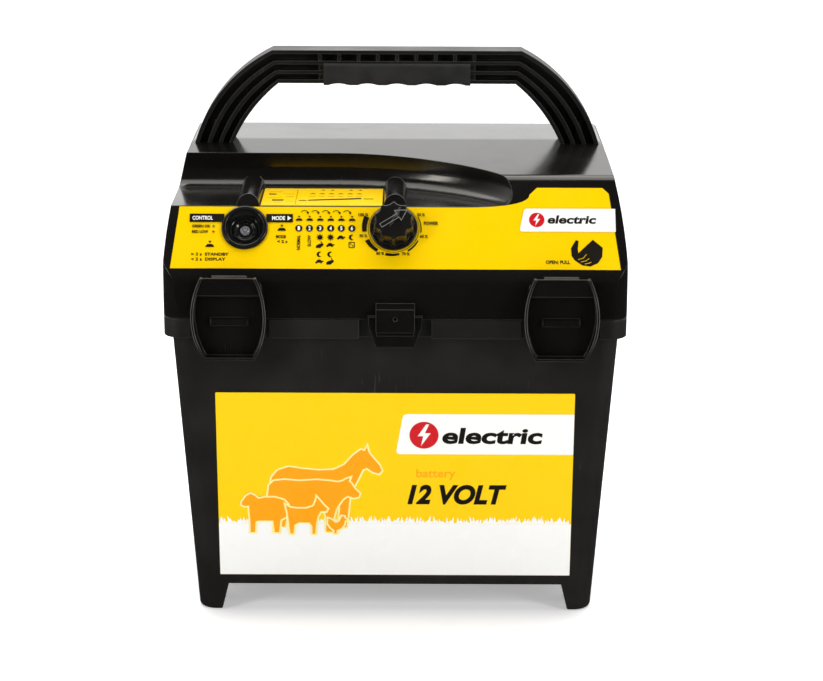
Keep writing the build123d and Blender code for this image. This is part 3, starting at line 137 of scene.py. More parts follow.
class Finish:
    """A Principled material under construction, with short calls for its patterns."""

    def __init__(self, name, colour, roughness, metallic=0.0, **sockets):
        self.material = bpy.data.materials.new(name)
        self.material.use_nodes = True
        self.tree = self.material.node_tree
        self.shader = self.tree.nodes["Principled BSDF"]
        self.colour = colour
        self.set("Base Color", (*colour, 1.0))
        self.set("Roughness", roughness)
        self.set("Metallic", metallic)
        for socket, value in sockets.items():
            self.set(socket.replace("_", " "), value)
        self.height = None

    def set(self, socket, value):
        self.shader.inputs[socket].default_value = value

    def node(self, kind, **values):
        made = self.tree.nodes.new(kind)
        for key, value in values.items():
            setattr(made, key, value)
        return made

    def link(self, a, b):
        self.tree.links.new(a, b)

    def place(self, stretch=(1, 1, 1), turn=(0, 0, 0)):
        """Object coordinates, stretched for a pattern with a direction."""
        where = self.node("ShaderNodeTexCoord")
        mapping = self.node("ShaderNodeMapping")
        mapping.inputs["Scale"].default_value = stretch
        mapping.inputs["Rotation"].default_value = turn
        self.link(where.outputs["Object"], mapping.inputs["Vector"])
        return mapping.outputs["Vector"]

    def noise(self, size_mm, detail=3.0, rough=0.55, stretch=(1, 1, 1), turn=(0, 0, 0)):
        """Noise whose features are about size_mm across."""
        made = self.node("ShaderNodeTexNoise")
        made.inputs["Scale"].default_value = 1 / (size_mm * MM)
        made.inputs["Detail"].default_value = detail
        made.inputs["Roughness"].default_value = rough
        self.link(self.place(stretch, turn), made.inputs["Vector"])
        return made.outputs["Fac"]

    def cells(self, size_mm, feature="F1"):
        """Cells about size_mm across: the distance to their middle, or to their edge."""
        made = self.node("ShaderNodeTexVoronoi", feature=feature)
        made.inputs["Scale"].default_value = 1 / (size_mm * MM)
        self.link(self.place(), made.inputs["Vector"])
        return made.outputs["Distance"]

    def span(self, value, low, high, out_low=0.0, out_high=1.0):
        """Map a pattern from one range to another."""
        made = self.node("ShaderNodeMapRange")
        for socket, number in (
            ("From Min", low), ("From Max", high), ("To Min", out_low), ("To Max", out_high),
        ):
            made.inputs[socket].default_value = number
        self.link(value, made.inputs["Value"])
        return made.outputs["Result"]

    def combine(self, operation, a, b):
        """One pattern or number worked with another."""
        made = self.node("ShaderNodeMath", operation=operation, use_clamp=False)
        for socket, value in zip(made.inputs, (a, b)):
            if isinstance(value, (int, float)):
                socket.default_value = value
            else:
                self.link(value, socket)
        return made.outputs["Value"]

    def tint(self, amount, colour):
        """Mix the base colour towards another by a pattern."""
        made = self.node("ShaderNodeMix", data_type="RGBA")
        base = self.shader.inputs["Base Color"]
        if base.is_linked:
            self.link(base.links[0].from_socket, made.inputs[6])
        else:
            made.inputs[6].default_value = (*self.colour, 1.0)
        made.inputs[7].default_value = (*colour, 1.0)
        self.link(amount, made.inputs[0])
        self.link(made.outputs[2], base)
        return self

    def roughen(self, pattern):
        self.link(pattern, self.shader.inputs["Roughness"])
        return self

    def round_edges(self, radius_mm):
        """Small moulded radius on sharp edges, which catches the light."""
        made = self.node("ShaderNodeBevel")
        made.samples = BEVEL_SAMPLES
        made.inputs["Radius"].default_value = radius_mm * MM
        self.height = made.outputs["Normal"]
        self.link(self.height, self.shader.inputs["Normal"])
        return self

    def paint_edge_highlight(self, colour, amount, only_before=None):
        """Painted highlight: lighter colour on edges, found where the rounded normal leaves the face's
        own.

        Given a depth in metres, what stands in front of it gets the full painted highlight and what
        lies behind gets a smaller share.
        """
        face = self.node("ShaderNodeNewGeometry")
        turned = self.node("ShaderNodeVectorMath", operation="DOT_PRODUCT")
        self.link(face.outputs["Normal"], turned.inputs[0])
        self.link(self.height, turned.inputs[1])
        # painted highlight: none while the two normals agree within about 10 degrees, full when they
        # part by about 28
        highlight_starts, highlight_full = 0.985, 0.88
        painted_highlight = self.span(turned.outputs["Value"], highlight_starts, highlight_full, 0.0, amount)
        if only_before is not None:
            place = self.node("ShaderNodeSeparateXYZ")
            self.link(self.place(), place.inputs[0])
            front = self.span(place.outputs["Y"], only_before, only_before - 2 * MM, 0.22, 1.0)
            painted_highlight = self.combine("MULTIPLY", painted_highlight, front)
        self.tint(painted_highlight, colour)
        return self

    def bump(self, pattern, depth_mm, strength=1.0):
        """Add a relief to the surface; several calls build on each other."""
        made = self.node("ShaderNodeBump")
        made.inputs["Strength"].default_value = strength
        made.inputs["Distance"].default_value = depth_mm * MM
        self.link(pattern, made.inputs["Height"])
        if self.height is not None:
            self.link(self.height, made.inputs["Normal"])
        self.height = made.outputs["Normal"]
        self.link(self.height, self.shader.inputs["Normal"])
        return self


def scratches(finish, size_mm, turn):
    """Sparse hair scratches running one way."""
    lines = finish.noise(size_mm, 2.0, 0.5, stretch=(1, 1, 0.03), turn=turn)
    patches = finish.noise(38, 2.0)
    sparse = finish.span(patches, 0.52, 0.68)
    sharp = finish.span(lines, 0.66, 0.72)
    return finish.combine("MULTIPLY", sharp, sparse)


def glossy_moulding(name, colour, rough_low, rough_high, edge_mm=0.7, edge_highlight=0.3, only_before=None):
    """Polished black moulding: orange peel, faint hair scratches, a little dust and a painted highlight
    along its edges.
    """
    finish = Finish(name, colour, rough_low, IOR=1.5)
    finish.set("Specular Tint", (1.0, 0.96, 0.87, 1.0))
    finish.round_edges(edge_mm)
    haze = finish.noise(55, 4.0)
    marks = scratches(finish, 1.1, (0.5, 0.9, 0.3))
    rough = finish.span(haze, 0.35, 0.7, rough_low, rough_high)
    finish.roughen(finish.combine("ADD", rough, finish.combine("MULTIPLY", marks, 0.14)))
    dust = finish.span(finish.noise(0.7, 2.0), 0.74, 0.86, 0.0, 0.10)
    finish.tint(dust, (0.30, 0.28, 0.25))
    finish.tint(finish.span(haze, 0.4, 0.75, 0.0, 0.35), tuple(2.2 * c for c in colour))
    # painted highlight: edges lightened towards a pale grey
    finish.paint_edge_highlight(GLOSS_EDGE_HIGHLIGHT, edge_highlight, only_before)
    finish.bump(finish.noise(6.0, 2.0), 0.035, 0.5)
    finish.bump(finish.noise(0.45, 2.0), 0.006, 0.35)
    return finish.material


def grained_moulding(name, colour, roughness, grain_mm=0.7, depth_mm=0.03, edge_mm=0.7):
    """Satin moulding with a fine spark-eroded grain, rubbed, lighter patches and a painted highlight
    along its edges.
    """
    finish = Finish(name, colour, roughness, IOR=1.48)
    finish.round_edges(edge_mm)
    grain = finish.noise(grain_mm, 4.0, 0.6)
    patches = finish.noise(42, 4.0)
    marks = scratches(finish, 1.5, (0.2, 0.4, 0.8))
    rough = finish.span(patches, 0.3, 0.7, roughness - 0.07, roughness + 0.08)
    finish.roughen(finish.combine("SUBTRACT", rough, finish.combine("MULTIPLY", marks, 0.12)))
    finish.tint(finish.span(patches, 0.35, 0.75, 0.0, 0.5), tuple(1.9 * c + 0.002 for c in colour))
    finish.tint(finish.combine("MULTIPLY", marks, 0.25), DULL_SCRATCH_AND_EDGE_HIGHLIGHT)
    # painted highlight: edges lightened towards the scratch colour
    finish.paint_edge_highlight(DULL_SCRATCH_AND_EDGE_HIGHLIGHT, 0.35)
    finish.bump(grain, depth_mm, 0.6)
    finish.bump(finish.noise(9.0, 2.0), 0.05, 0.35)
    return finish.material


def handle_moulding(name, colour):
    """Dull black moulding of the handle, softer at its edges."""
    material = grained_moulding(name, colour, 0.4, 0.5, 0.012, 0.9)
    shader = material.node_tree.nodes["Principled BSDF"]
    shader.inputs["Specular IOR Level"].default_value = 0.28
    return material


def printed_film(name, colour, roughness=0.3, shade=0.96):
    """Ink under a clear vinyl laminate, with a faint pebble and uneven ink."""
    finish = Finish(name, colour, roughness, IOR=1.5)
    ink = finish.noise(16, 5.0)
    finish.set("Specular IOR Level", 0.14)
    finish.tint(finish.span(ink, 0.3, 0.75, 0.0, 0.22), tuple(shade * c for c in colour))
    smear = finish.noise(30, 3.0)
    finish.roughen(finish.span(smear, 0.3, 0.7, roughness - 0.06, roughness + 0.07))
    finish.bump(finish.noise(0.5, 2.0), 0.005, 0.4)
    finish.bump(finish.noise(40, 1.0), 0.03, 0.15)
    return finish.material


def soft_rubber(name, colour, roughness=0.75):
    """Matt rubber with a fine pebble and chalky patches."""
    finish = Finish(name, colour, roughness, IOR=1.45, Sheen_Weight=0.15)
    patches = finish.noise(11, 4.0)
    finish.tint(finish.span(patches, 0.35, 0.75, 0.0, 0.6), tuple(2.0 * c + 0.004 for c in colour))
    finish.roughen(finish.span(patches, 0.3, 0.7, roughness - 0.1, roughness + 0.08))
    finish.bump(finish.noise(0.35, 3.0, 0.7), 0.03, 0.6)
    return finish.material


def plain_metal(name, colour, roughness, brushed=(1, 1, 1), pits=0.0):
    """Bright or plated metal with a drawn grain."""
    finish = Finish(name, colour, roughness, metallic=1.0)
    grain = finish.noise(0.6, 4.0, 0.6, stretch=brushed)
    finish.roughen(finish.span(grain, 0.3, 0.7, roughness - 0.08, roughness + 0.12))
    stain = finish.span(finish.noise(5, 3.0), 0.4, 0.75, 0.0, 0.5)
    finish.tint(stain, tuple(0.75 * c for c in colour))
    finish.bump(grain, 0.006, 0.5)
    if pits:
        finish.bump(finish.cells(pits), 0.05, 0.4)
    return finish.material


def board_finish(name):
    """Green solder mask over copper tracks."""
    finish = Finish(name, (0.012, 0.10, 0.035), 0.3, IOR=1.5)
    tracks = finish.cells(7.0, "DISTANCE_TO_EDGE")
    lines = finish.span(tracks, 0.04, 0.07, 1.0, 0.0)
    finish.tint(finish.combine("MULTIPLY", lines, 0.8), (0.03, 0.21, 0.07))
    finish.bump(lines, 0.03, 0.5)
    return finish.material


def winding_finish(name):
    """Enamelled wire laid in close turns."""
    finish = Finish(name, (0.36, 0.11, 0.03), 0.32, metallic=0.7)
    wave = finish.node("ShaderNodeTexWave", wave_type="BANDS", bands_direction="Z")
    wave.inputs["Scale"].default_value = 1 / (2.2 * MM)
    wave.inputs["Distortion"].default_value = 0.4
    finish.link(finish.place(), wave.inputs["Vector"])
    finish.tint(finish.span(wave.outputs["Fac"], 0.0, 0.5, 0.6, 0.0), (0.10, 0.03, 0.01))
    finish.bump(wave.outputs["Fac"], 0.25, 0.8)
    return finish.material


def clear_plastic(name, colour, roughness=0.06):
    """Tinted clear moulding of the lens."""
    finish = Finish(name, colour, roughness, IOR=1.49, Transmission_Weight=0.55)
    finish.roughen(finish.span(finish.noise(1.5, 3.0), 0.3, 0.7, roughness, roughness + 0.1))
    finish.bump(finish.noise(2.0, 1.0), 0.02, 0.3)
    return finish.material


def make_finishes():
    """Every finish of the object, by the name of the slot that it belongs to."""
    satin_black = (0.0125, 0.0108, 0.0100)
    gloss_black = (0.0055, 0.005, 0.0048)
    rib_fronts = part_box("latch_left")[0].y + 3 * MM
    return {
        "box_plastic": grained_moulding("tub_plastic", satin_black, 0.42, 0.8, 0.035),
        "lid_plastic": glossy_moulding("lid_gloss_plastic", gloss_black, 0.13, 0.24),
        "handle_plastic": handle_moulding("handle_plastic", (0.009, 0.0088, 0.0075)),
        # latch: full painted highlight on the front edges of its ribs, less behind them
        "latch_plastic": glossy_moulding(
            "latch_gloss_plastic", gloss_black, 0.12, 0.22, 1.2, 1.0, rib_fronts),
        "grip_rubber": soft_rubber("grip_rubber", (0.012, 0.012, 0.012), 0.62),
        "seal_rubber": soft_rubber("seal_rubber", (0.02, 0.02, 0.021), 0.85),
        "label_film": printed_film("yellow_film", YELLOW, 0.3, 0.95),
        "knob_plastic": glossy_moulding("knob_plastic", (0.006, 0.0056, 0.0052), 0.16, 0.28, 0.5),
        "bezel_plastic": glossy_moulding("bezel_plastic", (0.005, 0.005, 0.005), 0.14, 0.26, 0.6),
        "knob_marking": grained_moulding("knob_marking", (0.16, 0.155, 0.15), 0.4, 0.3, 0.01, 0.1),
        "lens": clear_plastic("lens_plastic", (0.55, 0.56, 0.58)),
        "spring_steel": plain_metal("spring_steel", (0.55, 0.55, 0.56), 0.25, (1, 1, 0.2)),
        "steel": plain_metal("zinc_plated_steel", (0.62, 0.62, 0.60), 0.32, (1, 1, 0.1)),
        "stainless": plain_metal("stainless_steel", (0.68, 0.67, 0.65), 0.24, (0.1, 1, 1)),
        "circuit_board": board_finish("solder_mask"),
        "black_component": grained_moulding("component_epoxy", (0.02, 0.02, 0.021), 0.5, 0.3, 0.01),
        "metal_component": plain_metal("component_aluminium", (0.72, 0.73, 0.74), 0.34, (1, 0.15, 1)),
        "core_iron": core_finish("core_laminations"),
        "copper_wire": winding_finish("enamelled_wire"),
        "capacitor_film": printed_film("capacitor_sleeve", (0.55, 0.55, 0.50), 0.35, 0.85),
        "battery_case": grained_moulding("battery_case_plastic", (0.30, 0.30, 0.31), 0.45, 1.2, 0.04),
        "battery_cover": grained_moulding("battery_cover_plastic", (0.02, 0.02, 0.022), 0.4, 1.0, 0.03),
        "lead": plain_metal("cast_lead", (0.34, 0.35, 0.37), 0.5, (1, 1, 1), 2.4),
        "fence_red": glossy_moulding("fence_red_plastic", (0.36, 0.010, 0.008), 0.25, 0.38),
        "earth_green": glossy_moulding("earth_green_plastic", (0.010, 0.13, 0.030), 0.25, 0.38),
    }


def core_finish(name):
    """Varnished transformer plates, seen as fine dark lines."""
    finish = Finish(name, (0.16, 0.14, 0.13), 0.45, metallic=0.6)
    wave = finish.node("ShaderNodeTexWave", wave_type="BANDS", bands_direction="Y")
    wave.inputs["Scale"].default_value = 1 / (3.0 * MM)
    finish.link(finish.place(), wave.inputs["Vector"])
    finish.tint(finish.span(wave.outputs["Fac"], 0.0, 0.35, 0.8, 0.0), (0.03, 0.026, 0.024))
    finish.bump(wave.outputs["Fac"], 0.08, 0.7)
    return finish.material


YELLOW = (0.99, 0.63, 0.0)
INK_THICK = 0.05             # millimetres
OWN_FINISH = {"handle_frame": "handle_plastic"}   # nodes that don't take their slot's finish
INKS = {
    "white": (0.93, 0.93, 0.91),
    "cream": (0.99, 0.86, 0.32),
    "orange": (0.985, 0.375, 0.004),
    "dark": (0.012, 0.009, 0.006),
    "red": (0.62, 0.012, 0.018),
    "green": (0.02, 0.30, 0.06),
}
FINISHES = {}


def finish_for(slot):
    """The finish of a slot; all of them are made at the first call."""
    if not FINISHES:
        FINISHES.update(make_finishes())
    return FINISHES[slot]


def ink(colour):
    """The printed finish of a colour."""
    name = f"{colour}_ink"
    if name not in FINISHES:
        rough = 0.34 if colour == "dark" else 0.28
        FINISHES[name] = printed_film(name, INKS[colour], rough)
    return FINISHES[name]


# ------------------------------------------------------------------ flat shapes, in millimetres
WELD = 0.0005                # points closer than this become one
LETTER_SIZE = 10.0           # before the lettering is fitted into its box
PLAIN, BOLD = 0.02, 0.03     # how much lettering is thickened, as a share of its size


def panel_box(x0, y0, x1, y1, radius=0.0):
    """Rectangle, with round corners if it has a radius."""
    if radius <= 0:
        return [(x0, y0), (x1, y0), (x1, y1), (x0, y1)]
    points = []
    corners = ((x1, y0, -90), (x1, y1, 0), (x0, y1, 90), (x0, y0, 180))
    for cx, cy, first in corners:
        mx = cx - radius if cx == x1 else cx + radius
        my = cy - radius if cy == y1 else cy + radius
        for k in range(6):
            a = math.radians(first + 18 * k)
            points.append((mx + radius * math.cos(a), my + radius * math.sin(a)))
    return points


def disc(x, y, radius, sides=36):
    """Round outline."""
    turns = [2 * math.pi * k / sides for k in range(sides)]
    return [(x + radius * math.cos(a), y + radius * math.sin(a)) for a in turns]


def ring_part(x, y, inner, outer, start, end, grow=0.0, steps=14):
    """Part of a ring, turned clockwise from start to end degrees from the top; its outer edge
    moves out by grow over that turn."""
    outside, inside = [], []
    for k in range(steps + 1):
        t = k / steps
        a = math.radians(90 - (start + (end - start) * t))
        outside.append((x + (outer + grow * t) * math.cos(a), y + (outer + grow * t) * math.sin(a)))
        inside.append((x + inner * math.cos(a), y + inner * math.sin(a)))
    return outside + inside[::-1]


def stroke(points, width):
    """Outline of a line of a given width through the points, with mitred corners."""
    left, right = [], []
    for k, (x, y) in enumerate(points):
        before = points[max(k - 1, 0)]
        after = points[min(k + 1, len(points) - 1)]
        along = Vector((x - before[0], y - before[1])) if k else Vector((after[0] - x, after[1] - y))
        onward = Vector((after[0] - x, after[1] - y)) if after != (x, y) else along
        along.normalize()
        onward.normalize()
        middle = (along + onward).normalized()
        normal = Vector((-middle.y, middle.x))
        reach = width / 2 / max(0.5, abs(middle.dot(along)))
        left.append((x + normal.x * reach, y + normal.y * reach))
        right.append((x - normal.x * reach, y - normal.y * reach))
    return left + right[::-1]


def moved(points, x, y, scale):
    """Outline scaled about its own origin, then placed."""
    return [(x + scale * px, y + scale * py) for px, py in points]


def shape(*loops, grow=0.0):
    """A filled area: its outline, then its holes."""
    return {"loops": loops, "grow": grow}


def words(text, x0, y0, x1, y1, weight=BOLD, lean=0.0, upright=True):
    """Lettering fitted into a box; upright False runs it up the surface."""
    return {
        "text": text, "fit": (x0, y0, x1, y1), "weight": weight, "lean": lean, "upright": upright,
    }


def flat_mesh(item, thick):
    """One closed thin mesh for a shape or a word."""
    if "text" in item:
        curve = bpy.data.curves.new("lettering", "FONT")
        curve.body = item["text"]
        curve.size = LETTER_SIZE
        curve.resolution_u = 5
        curve.shear = item["lean"]
        curve.offset = item["weight"] * curve.size
        curve.fill_mode = "BOTH"
    else:
        curve = bpy.data.curves.new("outline", "CURVE")
        curve.dimensions = "2D"
        curve.fill_mode = "BOTH"
        curve.offset = item["grow"]
        for loop in item["loops"]:
            spline = curve.splines.new("POLY")
            spline.points.add(len(loop) - 1)
            for point, (x, y) in zip(spline.points, loop):
                point.co = (x, y, 0, 1)
            spline.use_cyclic_u = True
    curve.extrude = thick / 2
    holder = bpy.data.objects.new("holder", curve)
    bpy.context.scene.collection.objects.link(holder)
    graph = bpy.context.evaluated_depsgraph_get()
    mesh = bpy.data.meshes.new_from_object(holder.evaluated_get(graph))
    bpy.data.objects.remove(holder)
    bpy.data.curves.remove(curve)
    if "text" in item:
        fit_words(mesh, item)
    return mesh


def fit_words(mesh, item):
    """Stretch lettering to fill its box."""
    xs = [v.co.x for v in mesh.vertices]
    ys = [v.co.y for v in mesh.vertices]
    x0, y0, x1, y1 = item["fit"]
    wide, tall = (x1 - x0, y1 - y0) if item["upright"] else (y1 - y0, x1 - x0)
    fit = Matrix.Diagonal((wide / (max(xs) - min(xs)), tall / (max(ys) - min(ys)), 1, 1))
    mesh.transform(fit @ Matrix.Translation((-min(xs), -min(ys), 0)))
    if not item["upright"]:
        mesh.transform(Matrix.Rotation(math.pi / 2, 4, "Z"))
        mesh.transform(Matrix.Translation((tall, 0, 0)))
    mesh.transform(Matrix.Translation((x0, y0, 0)))


def joined(name, meshes, place, material):
    """One object from several millimetre meshes, set in the row's metres by its place."""
    whole = bmesh.new()
    for mesh in meshes:
        whole.from_mesh(mesh)
        bpy.data.meshes.remove(mesh)
    bmesh.ops.remove_doubles(whole, verts=whole.verts, dist=WELD)
    bmesh.ops.recalc_face_normals(whole, faces=whole.faces)
    whole.transform(place @ Matrix.Scale(MM, 4))
    data = bpy.data.meshes.new(name)
    whole.to_mesh(data)
    whole.free()
    data.materials.clear()
    data.materials.append(material)
    piece = bpy.data.objects.new(name, data)
    bpy.context.scene.collection.objects.link(piece)
    return piece


def printed(name, place, colour, layer, items, body):
    """Ink of one colour on a label; a higher layer lies over a lower one."""
    up = Matrix.Translation(place.to_3x3().col[2] * layer * INK_THICK * MM)
    meshes = [flat_mesh(item, INK_THICK) for item in items]
    piece = joined(name, meshes, up @ place, ink(colour))
    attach(piece, body)
    return piece


# ------------------------------------------------------------------ own marks of the labels
BOLT = [(1.5, 8.5), (-4.6, -0.8), (-0.6, -0.8), (-2.2, -8.5), (4.8, 1.6), (0.6, 1.6), (3.6, 8.5)]
COW = [
    (8, 0), (13, 0), (14, 10), (17, 20), (20, 24), (30, 22), (42, 20), (50, 21), (52, 14), (52, 0),
    (57, 0), (58, 12), (60, 20), (62, 24), (66, 30), (70, 33), (75, 31), (79, 32), (80, 35),
    (76, 39), (73, 44), (71, 46), (72, 49), (69, 48), (66, 46), (62, 45), (56, 46), (45, 47),
    (30, 46), (18, 47), (9, 46), (5, 42), (4, 34), (2, 24), (0, 14), (1.5, 13), (4, 22), (6, 28),
    (8, 20), (8, 10),
]
HORSE = [
    (6, 0), (11, 0), (12, 6), (13, 14), (17, 22), (21, 27), (30, 26), (42, 25), (47, 25),
    (48, 14), (47, 2), (47, 0), (52, 0), (52.6, 4), (53.6, 14), (54.6, 24), (57.5, 30), (60.5, 36),
    (63, 42), (66, 43), (70, 40), (74, 39), (75.6, 41), (74, 45), (70, 50), (67, 54), (66, 58),
    (64.5, 55), (62, 56), (57, 52), (51, 45), (44, 41.5), (34, 41), (24, 42), (14, 43.5), (7, 41),
    (3, 36), (1, 26), (-1, 16), (2, 13), (4, 20), (5.6, 27), (6.5, 20), (5.4, 12), (5.6, 5),
]
SHEEP = [
    (5, 0), (7.6, 0), (8, 7), (10, 7.6), (18.6, 7.6), (19.4, 0), (22, 0), (22.8, 8), (26, 10),
    (28, 14), (27.6, 18), (25, 21), (20, 22.6), (14, 22.6), (10, 21.6), (8, 23.6), (5.4, 25),
    (3, 23.6), (0.4, 20), (0, 18), (2, 17), (4.4, 17.4), (4.6, 13), (5, 8),
]
GOAT = [
    (4, 0), (6, 0), (7, 7), (10, 9), (18, 9), (20, 6), (20, 0), (22, 0), (22.6, 8), (24, 14),
    (26, 18), (30, 18), (31, 20), (28, 23), (26.6, 25), (23.4, 29), (22.8, 26), (21, 22),
    (16, 20), (9, 20), (4, 20.6), (1, 22.6), (2, 18), (3, 10),
]
HEN = [
    (5, 0), (7, 0), (7, 3), (11, 5), (14, 9), (14.6, 13), (17, 13.6), (14.6, 15), (14, 17),
    (12, 17.4), (11, 15), (9.6, 11.6), (6, 10.4), (2, 14), (-0.6, 15), (-1, 10), (1.6, 6), (5, 3),
]
HARE = [
    (0, 0), (6, 0), (7, 1.6), (9, 3), (10.4, 5), (9.8, 6.6), (8.4, 7), (7, 10), (6.2, 9.6),
    (7, 6.4), (4, 6), (1, 4.4), (-0.6, 2.4),
]
TORTOISE = [
    (0, 0), (2, 0), (2.4, 1), (6.4, 1), (6.8, 0), (8.6, 0), (8.8, 1.6), (10.6, 2.4), (11, 3.6),
    (9.6, 4.2), (8.4, 3.4), (7, 5.2), (4.6, 6), (2, 5), (0.4, 2.6), (-1, 1.6),
]
HAND = [
    (14.6, 19), (21, 13.4), (20.4, 7), (17.6, 2.6), (12.6, 0.2), (7.4, 1.0), (4.2, 3.2), (2.4, 4.6),
    (0.5, 7.6), (0.2, 13), (3.4, 18.6), (5.2, 18.2), (4.6, 13.2), (4.8, 9.4), (8.8, 13.4),
]
FINGERS = (
    ((4.6, 5.0), (8.0, 6.0), (10.4, 9.0)), ((6.4, 3.4), (9.8, 4.2), (12.0, 5.8)),
    ((9.0, 2.0), (11.6, 2.5), (13.4, 3.4)),
)


def label_mark(x, y, radius):
    """Round mark with a bolt cut out of it."""
    return shape(disc(x, y, radius), moved(BOLT, x, y, radius / 10.5))


def push_sign(x, y, wide):
    """Sign for a push button: a domed cap with a pointer pressing on it."""
    cap = ((-1, 0), (1, 0), (0.9, 0.36), (0.55, 0.72), (-0.55, 0.72), (-0.9, 0.36))
    pointer = ((0, 0.95), (0.36, 1.5), (-0.36, 1.5))
    return [shape(moved(outline, x, y, wide / 2)) for outline in (cap, pointer)]


def sun_sign(x, y, radius):
    """Disc with eight rays."""
    rays = []
    for k in range(8):
        a = math.radians(45 * k)
        ray = [(x + r * radius * math.cos(a), y + r * radius * math.sin(a)) for r in (1.1, 1.45)]
        rays.append(shape(stroke(ray, 0.5)))
    return [shape(disc(x, y, radius, 20))] + rays


def moon_sign(x, y, radius):
    """Waning crescent."""
    outer = [(x + radius * math.cos(math.radians(a)), y + radius * math.sin(math.radians(a)))
             for a in range(50, 311, 13)]
    shift = 0.55 * radius
    inner = [(x + shift + 0.78 * radius * math.cos(math.radians(a)),
              y + 0.78 * radius * math.sin(math.radians(a))) for a in range(290, 69, -13)]
    return [shape(outer + inner)]


# ------------------------------------------------------------------ settings
def number(name, description, default, low, high, kind=bpy.props.FloatProperty, **more):
    """A number that can be set within a range."""
    return kind(name=name, description=description, default=default, min=low, max=high, **more)


def whole(*facts):
    return number(*facts, kind=bpy.props.IntProperty)


def metres(*facts):
    return number(*facts, unit="LENGTH")


class EnergizerPrintSettings(bpy.types.PropertyGroup):
    """Sizes of the printed artwork, in millimetres where they are lengths."""

    outline: number("Animal outline", "Pale line round each farm animal", 1.2, 0.0, 3.0)
    weight: number("Letter weight", "How much the lettering is thickened", 0.014, 0.0, 0.05)
    voltage: bpy.props.StringProperty(
        name="Supply", description="Supply shown in large letters on the front", default="12 VOLT")
    steps: whole("Mode columns", "Numbered columns beside the button", 6, 1, 6)
    column_pitch: number("Column pitch", "Distance between mode columns", 6.84, 4.0, 9.0)
    dial_radius: number("Dial radius", "Inside of the printed power ring", 17.4, 16.0, 20.0)


class EnergizerGrassSettings(bpy.types.PropertyGroup):
    """Sizes of the printed grass edge."""

    blades: whole("Blades", "Blades along the width of the label", 330, 20, 800)
    tallest: metres("Tallest blade", "Height of the tallest blade", 0.0062, 0.001, 0.012)
    base: metres("Blade width", "Width of a blade at its foot", 0.0021, 0.0005, 0.004)
    seed: whole("Seed", "Which random grass is grown", 4, 0, 99)


class EnergizerStageSettings(bpy.types.PropertyGroup):
    """Studio light and camera."""

    floor_colour: number(
        "Floor", "Colour of the floor", (0.93, 0.93, 0.93), 0.0, 1.0,
        bpy.props.FloatVectorProperty, subtype="COLOR", size=3)
    surround: number("Surround", "Brightness of the white surround", 1.7, 0.0, 5.0)
    front_dim: number("Front dimming", "Brightness in front of the object", 0.03, 0.0, 1.0)
    key: number(
        "Key light", "Power of the large light above the object", 18.0, 0.0, 500.0, unit="POWER")
    lens: number("Lens", "Focal length of the camera, in millimetres", 98.486, 35.0, 200.0)


# ------------------------------------------------------------------ operators
def settings():
    """The artwork's settings in this scene."""
    return bpy.context.scene.energizer_print


class EnergizerFinishes(bpy.types.Operator):
    """Give every moulding, fitting and inner part its finish"""

    bl_idname = "energizer.finishes"
    bl_label = "Finishes"

    def execute(self, context):
        for name, node in NODES.items():
            for slot in node.material_slots:
                slot.material = finish_for(OWN_FINISH.get(name, slot.material.name))
        return {"FINISHED"}


class EnergizerSpring(bpy.types.Operator):
    """Put a copy of the spring under the button, carried with the lid"""

    bl_idname = "energizer.spring"
    bl_label = "Button spring"

    def execute(self, context):
        node = NODES["button_spring"]
        mesh = node.data.copy()
        mesh.transform(node.matrix_world)
        spring = bpy.data.objects.new("button_return_spring", mesh)
        context.scene.collection.objects.link(spring)
        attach(spring, "lid")
        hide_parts("button_spring")
        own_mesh(spring)
        return {"FINISHED"}


class EnergizerFrontPrint(bpy.types.Operator):
    """Print the artwork of the front label"""

    bl_idname = "energizer.front_print"
    bl_label = "Front label print"

    def execute(self, context):
        s = settings()
        low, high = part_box("front_label")
        left, right = low.x / MM + 0.05, high.x / MM - 0.05
        bottom, ground = low.z / MM + 0.1, 64.4
        tag_low, tag_high = 115.0, 143.6
        tag = [
            (right, tag_low), (right, tag_high), (8.0, tag_high), (5.9, tag_high - 0.7),
            (4.8, tag_high - 2.6), (0.9, tag_low + 2.6), (1.2, tag_low + 0.9), (2.6, tag_low),
        ]
        printed("front_print_white", FRONT, "white", 0, [
            shape(panel_box(left, bottom, right, ground)), shape(tag)], "box")
        herd = [
            ("horse", HORSE, -84.5, 62.0, 1.0), ("cow", COW, -87.5, 58.5, 0.80),
            ("sheep", SHEEP, -102.0, 58.0, 1.12), ("goat", GOAT, -73.5, 57.0, 0.92),
            ("hen", HEN, -44.0, 57.5, 0.72),
        ]
        for level, (name, animal, x, z, scale) in enumerate(herd):
            outline = moved(animal, x, z, scale)
            printed(f"front_print_{name}_edge", FRONT, "cream", 1 + 2 * level,
                    [shape(outline, grow=s.outline)], "box")
            printed(f"front_print_{name}", FRONT, "orange", 2 + 2 * level, [shape(outline)], "box")
        printed("front_print_orange", FRONT, "orange", 0, [
            words("battery", 14.0, 96.4, 40.0, 104.4, 0.016)], "box")
        printed("front_print_mark", FRONT, "red", 1, [label_mark(19.0, 128.6, 9.6)], "box")
        printed("front_print_words", FRONT, "dark", 1, [
            words("electric", 31.0, 122.4, 97.0, 134.0, s.weight + 0.02, 0.1),
            words(s.voltage, 8.2, 78.6, 74.0, 93.0, s.weight + 0.03, 0.24),
        ], "box")
        return {"FINISHED"}


